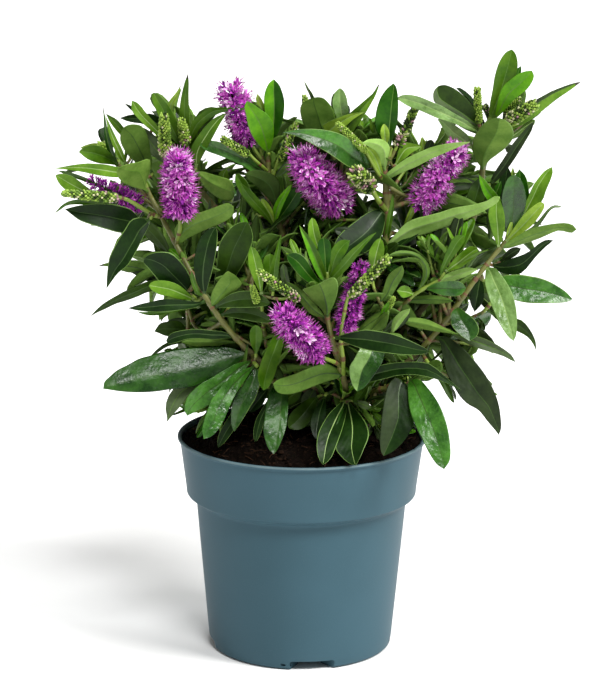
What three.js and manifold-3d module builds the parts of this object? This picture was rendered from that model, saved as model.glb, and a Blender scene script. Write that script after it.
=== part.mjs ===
// Flowering shrub (large-leaved hebe) growing in a round nursery pot.
// Millimetres, +Z up. Origin: centre of the pot's flat underside.
// +X is to the right of the plant's front, -Y is the front.
import * as THREE from 'three';
import { mergeVertices } from 'three/addons/utils/BufferGeometryUtils.js';
import Module from 'manifold-3d';

const wasm = await Module();
wasm.setup();

// ---------------------------------------------------------------- sizes
const SIDES = 32;              // facets round the pot

// pot: a 17 cm, 2 litre moulded nursery pot
const POT_H = 148;             // height to the top of the lip
const LIP_R = 85;              // outer radius of the lip bead
const LIP_T = 2.2;             // height of the lip bead
const BAND_TOP_R = 83.4;       // collar band just under the lip
const BAND_LOW_R = 78.9;       // collar band at its lower edge
const BAND_LOW_Z = 111.5;
const STEP_Z = 105.5;          // where the collar has stepped in to the body
const BODY_TOP_R = 72.3;
const FOOT_R = 62.8;
const WALL = 1.8;
const FLOOR_T = 8.6;           // moulded floor, deep enough to hold the drain channels
const CHANNEL_H = 6.2;         // drain channels across the foot
const CHANNEL_W_OUT = 33;      // width at the outside of the foot
const CHANNEL_W_IN = 15.4;     // width inside
const CHANNEL_NECK_R = 49;     // where the slanted cheeks end
const CHANNEL_END_R = 27;
const CHANNEL_TURN = 7.6;      // degrees from the front to the first channel
const DRAIN_R = 4;
const DRAIN_AT = 33;

// potting soil, filled to the lip and heaped towards the middle
const FIT = 0.3;               // gap between touching pieces
const SOIL_EDGE_Z = 145;
const SOIL_TOP_Z = 156;
const SOIL_FLAT_R = 36;

// short woody stem from the soil to its fork
const TRUNK_FOOT = [22, -5];
const TRUNK_LEAN = [2, 1];
const TRUNK_TOP_Z = 186;
const TRUNK_R = [6.4, 4.6];
const FLARE_R = 10.5;
const FLARE_H = 9;

// boughs: height where each leaves the stem, where it ends inside its mass,
// how far it bends off the straight line at a third and at two thirds of its
// length, and its two radii
const BOUGHS = [
  { name: 'left_bough', from: 172, to: [-102, -3, 312], bend: [[-31, -41, -8], [-4, -34, -14]], r: [2.3, 1.5], into: 'upper_left_mass' },
  { name: 'right_bough', from: 176, to: [132, -9, 281], bend: [[20, -15, -19], [1, -22, -1]], r: [2.5, 1.5], into: 'right_mass' },
  { name: 'front_bough', from: 164, to: [15, -62, 268], bend: [[24, -20, -15], [-7, -18, -7]], r: [2.3, 1.5], into: 'front_mass' },
  { name: 'centre_bough', from: 183, to: [53, -7, 336], bend: [[15, -4, -1], [17, -7, -5]], r: [3.0, 2.0], into: 'top_bloom_mass' },
  { name: 'top_left_bough', from: 181, to: [-24, 4, 342], bend: [[8, -3, 3], [-17, -5, -3]], r: [2.7, 1.6], into: 'top_left_mass' },
  { name: 'left_bloom_bough', from: 178, to: [-80, 8, 326], bend: [[5, 21, 5], [5, 21, 5]], r: [2.7, 1.8], into: 'left_bloom_mass' },
  { name: 'top_middle_bough', from: 183, to: [22, 2, 332], bend: [[3, 15, 0], [3, 15, 0]], r: [2.7, 1.8], into: 'top_middle_mass' },
  { name: 'top_right_bough', from: 180, to: [119, 4, 350], bend: [[20, 18, -18], [39, 11, -13]], r: [2.8, 1.8], into: 'top_right_mass' },
  { name: 'lower_front_bough', from: 167, to: [62, -44, 192], bend: [[3, -5, 7], [3, -5, 7]], r: [2.6, 1.9], into: 'lower_front_mass' },
  { name: 'inner_left_bough', from: 167, to: [-38, -30, 262], bend: [[-4, -9, 0], [-4, -9, 0]], r: [2.5, 1.7], into: 'inner_left_mass' },
  { name: 'back_left_bough', from: 174, to: [-74, 80, 280], bend: [[-11, 11, -16], [-11, 11, -16]], r: [2.8, 1.8], into: 'back_left_mass' },
  { name: 'back_middle_bough', from: 180, to: [4, 96, 296], bend: [[0, 13, -19], [0, 13, -19]], r: [2.8, 1.8], into: 'back_middle_mass' },
  { name: 'back_right_bough', from: 172, to: [88, 80, 288], bend: [[8, 11, -16], [8, 11, -16]], r: [2.8, 1.8], into: 'back_right_mass' },
];

// foliage masses: centre, half sizes, and the leafy tips that stand out of
// each, as [azimuth, elevation, reach] in degrees and millimetres
const MASSES = [
  { name: 'upper_left_mass', at: [-124, 0, 325], size: [37, 34, 32], tips: [[-169, -11, 43], [167, 6, 45], [171, 33, 34], [142, 75, 50], [-158, -28, 42], [-99, 7, 53], [113, 11, 53]] },
  { name: 'top_right_mass', at: [136, 4, 345], size: [29, 32, 42], tips: [[74, 86, 68], [-8, 75, 56], [2, 44, 66], [-156, 60, 49], [-19, -19, 34], [-87, -5, 44], [78, 10, 48]] },
  { name: 'right_mass', at: [143, -8, 280], size: [31, 32, 34], tips: [[-3, 17, 40], [27, 39, 39], [-13, -44, 50], [-101, -66, 65], [9, -80, 74], [80, -7, 47]] },
  { name: 'lower_right_mass', at: [114, -20, 214], size: [28, 28, 25], detail: 2, tips: [[-37, -66, 58], [19, -15, 35], [-131, -59, 38], [49, -8, 46]] },
  { name: 'left_middle_mass', at: [-93, -10, 263], size: [36, 32, 27], tips: [[-152, -7, 44], [-178, -30, 56], [161, 4, 48], [-138, -31, 36], [-103, 5, 45], [127, 0, 50]] },
  { name: 'lower_left_mass', at: [-54, -30, 200], size: [38, 30, 20], tips: [[-176, -8, 81], [157, -43, 50], [180, -51, 42], [-139, -66, 46], [-98, -66, 48]] },
  { name: 'lower_front_mass', at: [32, -46, 190], size: [44, 26, 22], tips: [[-117, -43, 53], [-83, -51, 49], [-27, -50, 46], [-4, -37, 81], [-151, -28, 66], [8, 3, 75]] },
  { name: 'front_mass', at: [10, -62, 260], size: [44, 31, 43], tips: [[171, 73, 44], [0, 44, 52], [-159, 21, 42], [-90, 9, 49], [-107, -18, 53], [-75, -34, 46]] },
  { name: 'left_bloom_mass', at: [-83, 6, 326], size: [27, 32, 42], detail: 2, tips: [[-174, 71, 54], [49, 83, 64], [-95, -52, 38], [-85, 2, 46], [90, 18, 52]] },
  { name: 'top_left_mass', at: [-36, 4, 336], size: [33, 36, 43], detail: 2, tips: [[-161, 44, 42], [14, 71, 51], [-130, 69, 52], [-94, 59, 43], [-97, -7, 51]] },
  { name: 'top_middle_mass', at: [23, 0, 331], size: [36, 38, 43], detail: 2, tips: [[93, 79, 52], [143, 59, 58], [27, 58, 58], [-154, 28, 46], [-139, -31, 53], [-84, 0, 56]] },
  { name: 'top_bloom_mass', at: [83, 2, 331], size: [33, 38, 44], detail: 2, tips: [[170, 65, 56], [73, 73, 51], [-137, 62, 50], [-86, 0, 54]] },
  { name: 'right_middle_mass', at: [87, -34, 262], size: [38, 32, 38], detail: 2, tips: [[-30, 31, 37], [169, 45, 33], [-97, 5, 47]] },
  { name: 'inner_left_mass', at: [-42, -30, 268], size: [34, 30, 37], detail: 2, tips: [[-147, 76, 45], [-101, 11, 43], [-70, -30, 40]] },
  { name: 'back_left_low_mass', at: [-61, 34, 207], size: [36, 34, 22], detail: 2, tips: [[-164, 10, 44], [-159, -9, 44], [-143, 8, 40], [123, -12, 56]] },
  { name: 'back_left_mass', at: [-76, 82, 286], size: [46, 42, 44], detail: 2, tips: [[157, 11, 73], [116, 16, 72], [135, 38, 70], [142, -15, 77]] },
  { name: 'back_middle_mass', at: [2, 102, 300], size: [48, 40, 50], detail: 2, tips: [[106, 16, 62], [70, -4, 61], [83, 60, 66], [126, 50, 64]] },
  { name: 'back_right_mass', at: [90, 84, 294], size: [46, 42, 46], detail: 2, tips: [[27, 9, 75], [60, 15, 71], [34, 46, 72], [36, -19, 79]] },
  { name: 'back_low_left_mass', at: [-24, 68, 216], size: [40, 34, 27], detail: 2, tips: [[124, -15, 66], [90, -7, 62]] },
  { name: 'back_low_right_mass', at: [72, 60, 218], size: [42, 36, 28], detail: 2, tips: [[35, -16, 73], [70, -5, 66]] },
];
const MASS_DETAIL = 3;         // subdivision of the masses
const LOBE_SHARP = 26;         // how narrow a leafy tip is
const UNEVEN = 0.16;           // how uneven the surface between the tips is
const MASS_GAP = 1.2;          // clearance between neighbouring masses
const BOUGH_GAP = 0.6;

// ---------------------------------------------------------------- colours
const finish = (color, roughness) => new THREE.MeshStandardMaterial({ color, roughness, metalness: 0 });
const POT_GREY = finish(0x54717f, 0.5);
const SOIL_BROWN = finish(0x2a1a14, 0.95);
const BARK = finish(0x7d6f4e, 0.85);
const GREEN_STEM = finish(0x7f8b3a, 0.6);
const LEAF = finish(0x3f6a26, 0.55);
const LEAF_DARK = finish(0x27451d, 0.55);
const BLOOM = finish(0x9a3fa6, 0.7);

// ---------------------------------------------------------------- helpers
const clean = (geometry) => {
  const g = geometry.clone();
  for (const key of Object.keys(g.attributes)) if (key !== 'position') g.deleteAttribute(key);
  return mergeVertices(g, 1e-4);
};

const toSolid = (geometry) => {
  const g = clean(geometry);
  return new wasm.Manifold(new wasm.Mesh({
    numProp: 3,
    vertProperties: new Float32Array(g.attributes.position.array),
    triVerts: new Uint32Array(g.index.array),
  }));
};

const largest = (solid) => {
  const bodies = solid.decompose();
  bodies.sort((a, b) => b.volume() - a.volume());
  return bodies[0];
};

const toMesh = (solid, name, material) => {
  const m = solid.getMesh();
  const n = m.numProp;
  const position = new Float32Array((m.vertProperties.length / n) * 3);
  for (let i = 0; i < position.length / 3; i++) {
    for (let k = 0; k < 3; k++) position[i * 3 + k] = m.vertProperties[i * n + k];
  }
  const g = new THREE.BufferGeometry();
  g.setAttribute('position', new THREE.BufferAttribute(position, 3));
  g.setIndex(new THREE.BufferAttribute(new Uint32Array(m.triVerts), 1));
  g.computeVertexNormals();
  const mesh = new THREE.Mesh(g, material);
  mesh.name = name;
  return mesh;
};

const lathe = (profile, sides) => {
  const g = new THREE.LatheGeometry(profile.map(([r, z]) => new THREE.Vector2(r, z)), sides);
  g.rotateX(Math.PI / 2);
  return g;
};

// outward faces whatever way the profile or the path runs
const outward = (geometry) => {
  const g = clean(geometry);
  const p = g.attributes.position;
  const ix = g.index.array;
  const a = new THREE.Vector3(), b = new THREE.Vector3(), c = new THREE.Vector3();
  let volume = 0;
  for (let i = 0; i < ix.length; i += 3) {
    a.fromBufferAttribute(p, ix[i]); b.fromBufferAttribute(p, ix[i + 1]); c.fromBufferAttribute(p, ix[i + 2]);
    volume += a.dot(b.cross(c));
  }
  if (volume < 0) for (let i = 0; i < ix.length; i += 3) { const t = ix[i]; ix[i] = ix[i + 1]; ix[i + 1] = t; }
  return g;
};

// ---------------------------------------------------------------- pot
const channelShape = () => {
  const s = new THREE.Shape();
  const o = CHANNEL_W_OUT / 2, n = CHANNEL_W_IN / 2;
  const flare = (o - n) / (FOOT_R - CHANNEL_NECK_R);
  const far = FOOT_R + 6;
  const w = o + flare * 6;
  s.moveTo(-w, -far); s.lineTo(w, -far);
  s.lineTo(n, -CHANNEL_NECK_R); s.lineTo(n, -CHANNEL_END_R);
  s.lineTo(-n, -CHANNEL_END_R); s.lineTo(-n, -CHANNEL_NECK_R);
  s.closePath();
  return s;
};

const potProfile = (side) => {
  // side 0: outside from the foot up; side 1: inside from the lip down
  const wallAt = (z) => (z <= STEP_Z
    ? FOOT_R + (BODY_TOP_R - FOOT_R) * (z / STEP_Z)
    : BAND_LOW_R + (BAND_TOP_R - BAND_LOW_R) * ((z - BAND_LOW_Z) / (POT_H - LIP_T - BAND_LOW_Z)));
  if (side === 0) {
    return [
      [0, 0], [FOOT_R - 1.2, 0], [FOOT_R, 1.4], [BODY_TOP_R - 0.2, STEP_Z - 1.4],
      [BODY_TOP_R + 1.2, STEP_Z], [BAND_LOW_R - 1.6, STEP_Z + 1.6], [BAND_LOW_R, BAND_LOW_Z],
      [BAND_TOP_R, POT_H - LIP_T], [LIP_R, POT_H - LIP_T + 0.4], [LIP_R, POT_H - 0.5], [LIP_R - 0.6, POT_H],
    ];
  }
  return [
    [BAND_TOP_R - WALL + 0.4, POT_H], [wallAt(BAND_LOW_Z) - WALL, BAND_LOW_Z],
    [BODY_TOP_R - WALL + 0.2, STEP_Z - 2], [wallAt(FLOOR_T) - WALL, FLOOR_T], [0, FLOOR_T],
  ];
};

const potBody = toSolid(outward(lathe([...potProfile(0), ...potProfile(1)], SIDES)));
let pot = potBody;
for (let k = 0; k < 4; k++) {
  const turn = THREE.MathUtils.degToRad(CHANNEL_TURN + 90 * k);
  const channel = new THREE.ExtrudeGeometry(channelShape(), { depth: CHANNEL_H + 2, bevelEnabled: false });
  channel.translate(0, 0, -2);
  channel.rotateZ(turn);
  pot = pot.subtract(toSolid(outward(channel)));
  const drain = new THREE.CylinderGeometry(DRAIN_R, DRAIN_R, FLOOR_T, 10);
  drain.rotateX(Math.PI / 2);
  drain.translate(0, -DRAIN_AT, FLOOR_T);
  drain.rotateZ(turn);
  pot = pot.subtract(toSolid(outward(drain)));
}

// ---------------------------------------------------------------- soil
const inside = potProfile(1);
const soilProfile = [
  [0, FLOOR_T + FIT],
  [inside[3][0] - FIT, FLOOR_T + FIT],
  [inside[2][0] - FIT, inside[2][1]],
  [inside[1][0] - FIT - 0.2, inside[1][1]],
  [inside[0][0] - FIT - 0.5, SOIL_EDGE_Z],
  [66, SOIL_EDGE_Z + (SOIL_TOP_Z - SOIL_EDGE_Z) * 0.55],
  [SOIL_FLAT_R, SOIL_TOP_Z],
  [0, SOIL_TOP_Z],
];
const soil = toSolid(outward(lathe(soilProfile, SIDES)));

// ---------------------------------------------------------------- limbs
// tapered round limb along a curve, closed at both ends
const limb = (curve, radiusAt, steps, sides) => {
  const g = new THREE.CylinderGeometry(1, 1, 1, sides, steps, false);
  const p = g.attributes.position;
  const frames = curve.computeFrenetFrames(steps, false);
  for (let i = 0; i < p.count; i++) {
    const t = THREE.MathUtils.clamp(p.getY(i) + 0.5, 0, 1);
    const k = Math.round(t * steps);
    const at = curve.getPointAt(t);
    const r = radiusAt(t);
    at.addScaledVector(frames.normals[k], p.getX(i) * r);
    at.addScaledVector(frames.binormals[k], p.getZ(i) * r);
    p.setXYZ(i, at.x, at.y, at.z);
  }
  return outward(g);
};

const trunkAt = (z) => {
  const t = (z - SOIL_TOP_Z) / (TRUNK_TOP_Z - SOIL_TOP_Z);
  return new THREE.Vector3(TRUNK_FOOT[0] + TRUNK_LEAN[0] * t, TRUNK_FOOT[1] + TRUNK_LEAN[1] * t, z);
};
const trunkRadius = (z, extra) => {
  const t = (z - SOIL_TOP_Z) / (TRUNK_TOP_Z - SOIL_TOP_Z);
  const flare = Math.max(0, 1 - (z - SOIL_TOP_Z) / FLARE_H);
  return TRUNK_R[0] + (TRUNK_R[1] - TRUNK_R[0]) * t + (FLARE_R - TRUNK_R[0]) * flare * flare + extra;
};
const trunkSolid = (extra) => {
  const low = SOIL_TOP_Z + FIT;
  const rings = [0, 0.08, 0.18, 0.32, 0.55, 0.8, 1];
  const g = new THREE.CylinderGeometry(1, 1, 1, 10, rings.length - 1, false);
  const p = g.attributes.position;
  for (let i = 0; i < p.count; i++) {
    const k = Math.round((p.getY(i) + 0.5) * (rings.length - 1));
    const z = low + (TRUNK_TOP_Z + extra - low) * rings[k];
    const c = trunkAt(z);
    const r = trunkRadius(z, extra);
    // root flare: shallow ridges that fade out up the stem
    const a = Math.atan2(p.getZ(i), p.getX(i));
    const ridge = 1 + 0.16 * Math.max(0, 1 - (z - low) / (FLARE_H * 1.4)) * Math.sin(3 * a + 0.7);
    p.setXYZ(i, c.x + p.getX(i) * r * ridge, c.y + p.getZ(i) * r * ridge, z);
  }
  return toSolid(outward(g));
};

const boughCurve = (b) => {
  const start = trunkAt(b.from);
  const end = new THREE.Vector3(...b.to);
  const out = end.clone().sub(start).setZ(0).normalize();
  start.addScaledVector(out, 1.5);
  const third = (k) => start.clone().lerp(end, k / 3).add(new THREE.Vector3(...b.bend[k - 1]));
  return new THREE.CubicBezierCurve3(start, third(1), third(2), end);
};
const boughSolid = (b, extra) => {
  const curve = boughCurve(b);
  const steps = Math.max(4, Math.round(curve.getLength() / 30));
  return toSolid(limb(curve, (t) => b.r[0] + (b.r[1] - b.r[0]) * t + extra, steps, 5));
};

// ---------------------------------------------------------------- masses
// smooth unevenness of a direction, from a few fixed waves
const uneven = (d, seed) => {
  let s = 0;
  for (let k = 1; k <= 4; k++) {
    const a = seed * 12.9898 + k * 78.233;
    s += Math.sin(d.x * (2.1 + k) + a) * Math.cos(d.y * (1.7 + k) - a * 1.3) * Math.sin(d.z * (2.6 + k) + a * 0.7) / Math.sqrt(k);
  }
  return s;
};
const direction = (azimuth, elevation) => {
  const a = THREE.MathUtils.degToRad(azimuth), e = THREE.MathUtils.degToRad(elevation);
  return new THREE.Vector3(Math.cos(a) * Math.cos(e), Math.sin(a) * Math.cos(e), Math.sin(e));
};

const massSolid = (m, seed, extra) => {
  const ball = clean(new THREE.IcosahedronGeometry(1, m.detail ?? MASS_DETAIL));
  const p = ball.attributes.position;
  const dirs = [];
  for (let i = 0; i < p.count; i++) dirs.push(new THREE.Vector3().fromBufferAttribute(p, i).normalize());
  const [rx, ry, rz] = m.size;
  const core = (d) => 1 / Math.hypot(d.x / rx, d.y / ry, d.z / rz);
  const tips = m.tips.map(([az, el, reach]) => ({ d: direction(az, el), reach }));
  // the nearest vertex moves onto each tip's own direction, so the tip is reached
  const taken = new Set();
  for (const tip of tips) {
    let best = -1, most = -2;
    dirs.forEach((d, i) => { if (!taken.has(i) && d.dot(tip.d) > most) { most = d.dot(tip.d); best = i; } });
    taken.add(best);
    dirs[best] = tip.d.clone();
  }
  dirs.forEach((d, i) => {
    let r = core(d) * (1 + UNEVEN * uneven(d, seed));
    for (const tip of tips) {
      const more = Math.max(0, tip.reach - core(tip.d));
      r = Math.max(r, r * 0.35 + (core(d) + more * Math.exp(LOBE_SHARP * (d.dot(tip.d) - 1))) * 0.65);
      if (d.distanceTo(tip.d) < 1e-6) r = Math.max(r, tip.reach);
    }
    r += extra;
    p.setXYZ(i, m.at[0] + d.x * r, m.at[1] + d.y * r, m.at[2] + d.z * r);
  });
  return toSolid(outward(ball));
};

// ---------------------------------------------------------------- assembly
// room kept free for the pot and the soil heap under hanging leaves
const keepOut = toSolid(outward(lathe([
  [0, -1], [LIP_R + 1, -1], [LIP_R + 1, POT_H + 0.8], [66, SOIL_EDGE_Z + 7], [SOIL_FLAT_R, SOIL_TOP_Z + 0.6], [0, SOIL_TOP_Z + 0.6],
], 32)));

const plant = new THREE.Group();
plant.name = 'hebe_in_pot';
plant.add(toMesh(pot, 'pot', POT_GREY));
plant.add(toMesh(soil, 'soil', SOIL_BROWN));

const trunk = trunkSolid(0);
plant.add(toMesh(trunk, 'trunk', BARK));
const trunkRoom = trunkSolid(FIT);

const massByName = new Map();
MASSES.forEach((m, i) => massByName.set(m.name, { m, seed: i + 1 }));

let limbsSoFar = trunkRoom;
const boughRoom = new Map();
for (const b of BOUGHS) {
  const own = massByName.get(b.into);
  const whole = boughSolid(b, 0);
  const bare = largest(whole.subtract(limbsSoFar).subtract(massSolid(own.m, own.seed, FIT + 0.3)));
  plant.add(toMesh(bare, b.name, GREEN_STEM));
  limbsSoFar = limbsSoFar.add(boughSolid(b, FIT));
  boughRoom.set(b.name, boughSolid(b, BOUGH_GAP));
}

let taken = keepOut.add(trunkSolid(BOUGH_GAP));
MASSES.forEach((m, i) => {
  let solid = massSolid(m, i + 1, 0).subtract(taken);
  for (const b of BOUGHS) if (b.into !== m.name) solid = solid.subtract(boughRoom.get(b.name));
  const dark = m.name.startsWith('back');
  const bloom = m.name.includes('bloom');
  plant.add(toMesh(largest(solid), m.name, bloom ? BLOOM : dark ? LEAF_DARK : LEAF));
  taken = taken.add(massSolid(m, i + 1, MASS_GAP));
});

export default plant;
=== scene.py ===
import math
import random

import bmesh
import bpy
import numpy as np
from mathutils import Matrix, Vector
from mathutils.bvhtree import BVHTree


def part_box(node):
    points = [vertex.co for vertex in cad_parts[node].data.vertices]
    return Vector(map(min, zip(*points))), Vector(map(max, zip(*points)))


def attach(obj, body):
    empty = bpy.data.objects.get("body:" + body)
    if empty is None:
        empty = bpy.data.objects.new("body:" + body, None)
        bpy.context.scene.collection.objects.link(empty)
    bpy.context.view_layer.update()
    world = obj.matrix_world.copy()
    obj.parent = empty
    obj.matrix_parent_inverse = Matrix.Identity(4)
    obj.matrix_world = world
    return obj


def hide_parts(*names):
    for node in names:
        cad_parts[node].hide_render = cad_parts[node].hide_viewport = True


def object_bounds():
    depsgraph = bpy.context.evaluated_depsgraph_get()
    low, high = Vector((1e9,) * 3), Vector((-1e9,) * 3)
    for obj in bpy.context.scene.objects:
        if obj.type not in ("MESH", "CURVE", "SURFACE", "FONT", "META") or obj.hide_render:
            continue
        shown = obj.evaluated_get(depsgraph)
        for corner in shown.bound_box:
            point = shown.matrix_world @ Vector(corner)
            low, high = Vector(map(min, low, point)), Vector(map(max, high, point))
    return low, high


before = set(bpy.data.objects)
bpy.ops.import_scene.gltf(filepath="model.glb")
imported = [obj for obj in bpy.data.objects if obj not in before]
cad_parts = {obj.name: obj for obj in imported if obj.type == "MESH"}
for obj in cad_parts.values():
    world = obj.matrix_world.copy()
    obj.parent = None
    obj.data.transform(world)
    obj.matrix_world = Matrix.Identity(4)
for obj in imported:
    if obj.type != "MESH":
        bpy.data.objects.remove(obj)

# Looks of a flowering hebe in its nursery pot. Lengths are in millimetres until a mesh is made.
MM = 0.001
SEED = 4711
cad_lo, cad_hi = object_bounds()
scene = bpy.context.scene
rng = random.Random(SEED)
nrng = np.random.default_rng(SEED)

# ------------------------------------------------------------------ camera
EYE = np.array([-1.67, -1764.4, 635.0])
PITCH, ROLL, FOCAL = math.radians(13.63), math.radians(0.47), 2672.0
IMG_W, IMG_H = 600.0, 700.0
_f = np.array([0.0, math.cos(PITCH), -math.sin(PITCH)])
_u = np.array([0.0, math.sin(PITCH), math.cos(PITCH)])
_r = np.array([1.0, 0.0, 0.0])
FWD = _f
RIGHT = math.cos(ROLL) * _r + math.sin(ROLL) * _u
UP = -math.sin(ROLL) * _r + math.cos(ROLL) * _u


def at(px, py, y):
    """The point of the picture's (px, py) that lies at depth y."""
    d = FWD + (px - IMG_W / 2) / FOCAL * RIGHT + (IMG_H / 2 - py) / FOCAL * UP
    return EYE + d * ((y - EYE[1]) / d[1])


def seen_at(p):
    d = np.asarray(p, float) - EYE
    w = d @ FWD
    return IMG_W / 2 + FOCAL * (d @ RIGHT) / w, IMG_H / 2 - FOCAL * (d @ UP) / w


def mm_per_px(p):
    return ((np.asarray(p, float) - EYE) @ FWD) / FOCAL


cam_data = bpy.data.cameras.new("camera")
cam = bpy.data.objects.new("camera", cam_data)
scene.collection.objects.link(cam)
cam_data.sensor_width = 36.0
cam_data.lens = FOCAL / IMG_H * 36.0
cam_data.clip_start, cam_data.clip_end = 0.05, 200.0
cam.matrix_world = Matrix((
    (RIGHT[0], UP[0], -FWD[0], EYE[0] * MM),
    (RIGHT[1], UP[1], -FWD[1], EYE[1] * MM),
    (RIGHT[2], UP[2], -FWD[2], EYE[2] * MM),
    (0, 0, 0, 1),
))
scene.camera = cam


# ------------------------------------------------------------------ small maths
def unit(v):
    v = np.asarray(v, float)
    n = np.linalg.norm(v)
    return v / n if n > 1e-9 else v


def lerp(a, b, t):
    return a + (b - a) * t


def srgb(r, g, b):
    def one(c):
        c = c / 255.0
        return c / 12.92 if c <= 0.04045 else ((c + 0.055) / 1.055) ** 2.4
    return (one(r), one(g), one(b), 1.0)


def catmull(points, step):
    """Evenly spaced points along a smooth curve through the given ones."""
    P = [np.asarray(p, float) for p in points]
    if len(P) == 2:
        n = max(2, int(np.linalg.norm(P[1] - P[0]) / step) + 1)
        return np.array([lerp(P[0], P[1], i / (n - 1)) for i in range(n)])
    P = [2 * P[0] - P[1]] + P + [2 * P[-1] - P[-2]]
    dense = []
    for i in range(1, len(P) - 2):
        a, b, c, d = P[i - 1], P[i], P[i + 1], P[i + 2]
        for k in range(16):
            t = k / 16
            dense.append(0.5 * ((2 * b) + (c - a) * t + (2 * a - 5 * b + 4 * c - d) * t * t
                                + (3 * b - a - 3 * c + d) * t ** 3))
    dense.append(P[-2])
    return resample(np.array(dense), step)


def resample(pts, step):
    seg = np.linalg.norm(np.diff(pts, axis=0), axis=1)
    s = np.concatenate([[0], np.cumsum(seg)])
    n = max(3, int(s[-1] / step) + 1)
    want = np.linspace(0, s[-1], n)
    return np.stack([np.interp(want, s, pts[:, k]) for k in range(3)], 1)


def bezier(a, b, c, n):
    t = np.linspace(0, 1, n)[:, None]
    return (1 - t) ** 2 * a + 2 * t * (1 - t) * b + t * t * c


# ------------------------------------------------------------------ meshes
class Pile:
    """Vertices and faces of many small shapes that become one joined mesh."""

    def __init__(self):
        self.v, self.f, self.m, self.n, self.tris = [], [], [], 0, 0

    def add(self, verts, faces, mats):
        verts = np.asarray(verts, float)
        faces = np.asarray(faces, int)
        self.v.append(verts)
        self.f.append(faces + self.n)
        self.m.append(np.broadcast_to(np.asarray(mats, int), (len(faces),)).copy())
        self.n += len(verts)
        self.tris += len(faces) * (faces.shape[1] - 2)

    def build(self, name, materials, slot=None, replaces=(), smooth=True):
        if not self.v:
            return None
        me = bpy.data.meshes.new(name)
        verts = np.concatenate(self.v) * MM
        loops = np.concatenate([f.ravel() for f in self.f])
        sizes = np.concatenate([np.full(len(f), f.shape[1]) for f in self.f])
        starts = np.concatenate([[0], np.cumsum(sizes)[:-1]])
        mats = np.concatenate(self.m)
        me.vertices.add(len(verts))
        me.vertices.foreach_set("co", verts.astype(np.float32).ravel())
        me.loops.add(len(loops))
        me.loops.foreach_set("vertex_index", loops.astype(np.int32))
        me.polygons.add(len(sizes))
        me.polygons.foreach_set("loop_start", starts.astype(np.int32))
        me.polygons.foreach_set("loop_total", sizes.astype(np.int32))
        me.polygons.foreach_set("material_index", mats.astype(np.int32))
        me.polygons.foreach_set("use_smooth", np.full(len(sizes), smooth))
        me.update(calc_edges=True)
        me.validate()
        for m in materials:
            me.materials.append(m)
        return place(bpy.data.objects.new(name, me), replaces)


def place(obj, replaces=()):
    if obj.name not in scene.collection.objects:
        scene.collection.objects.link(obj)
    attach(obj, "root")
    if replaces:
        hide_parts(*replaces)
    return obj


def frames_along(pts, hint=(0, 0, 1)):
    """Tangent and two side directions at each point, turning as little as they can."""
    t = np.gradient(pts, axis=0)
    t /= np.maximum(np.linalg.norm(t, axis=1), 1e-9)[:, None]
    a = np.cross(t[0], hint)
    if np.linalg.norm(a) < 0.1:
        a = np.cross(t[0], (1, 0, 0))
    a = unit(a)
    side = [a]
    for i in range(1, len(pts)):
        a = unit(a - t[i] * (a @ t[i]))
        side.append(a)
    side = np.array(side)
    return t, side, np.cross(t, side)


def tube(pile, pts, radius, sides, mat, relief=None, ends=True):
    """Closed tube along pts; radius per point; relief(angle, length) scales it; mat is a number or one per ring."""
    n = len(pts)
    t, a, b = frames_along(pts)
    ang = np.linspace(0, 2 * math.pi, sides, endpoint=False)
    s = np.concatenate([[0], np.cumsum(np.linalg.norm(np.diff(pts, axis=0), axis=1))])
    r = np.asarray(radius, float)[:, None] * np.ones((1, sides))
    if relief is not None:
        r = r * relief(ang[None, :], s[:, None])
    v = pts[:, None, :] + r[..., None] * (np.cos(ang)[None, :, None] * a[:, None, :]
                                         + np.sin(ang)[None, :, None] * b[:, None, :])
    v = v.reshape(-1, 3)
    i = np.arange(n - 1)[:, None]
    j = np.arange(sides)[None, :]
    j2 = (j + 1) % sides
    f = np.stack([i * sides + j, i * sides + j2, (i + 1) * sides + j2, (i + 1) * sides + j], -1).reshape(-1, 4)
    m = np.repeat(np.asarray(mat)[:-1], sides) if np.ndim(mat) else np.full(len(f), mat)
    pile.add(v, f, m)
    if ends:
        base = pile.n - len(v)
        for ring, centre, flip in ((0, pts[0] - t[0] * radius[0] * 0.25, True),
                                   (n - 1, pts[-1] + t[-1] * radius[-1] * 0.5, False)):
            pile.v.append(np.array([centre]))
            c = pile.n
            pile.n += 1
            k = np.arange(sides)
            ring_ix = base + ring * sides
            tri = np.stack([np.full(sides, c), ring_ix + k, ring_ix + (k + 1) % sides], -1)
            if flip:
                tri = tri[:, ::-1]
            pile.f.append(tri)
            mm = m[0] if ring == 0 else m[-1]
            pile.m.append(np.full(sides, mm))
            pile.tris += sides


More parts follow.
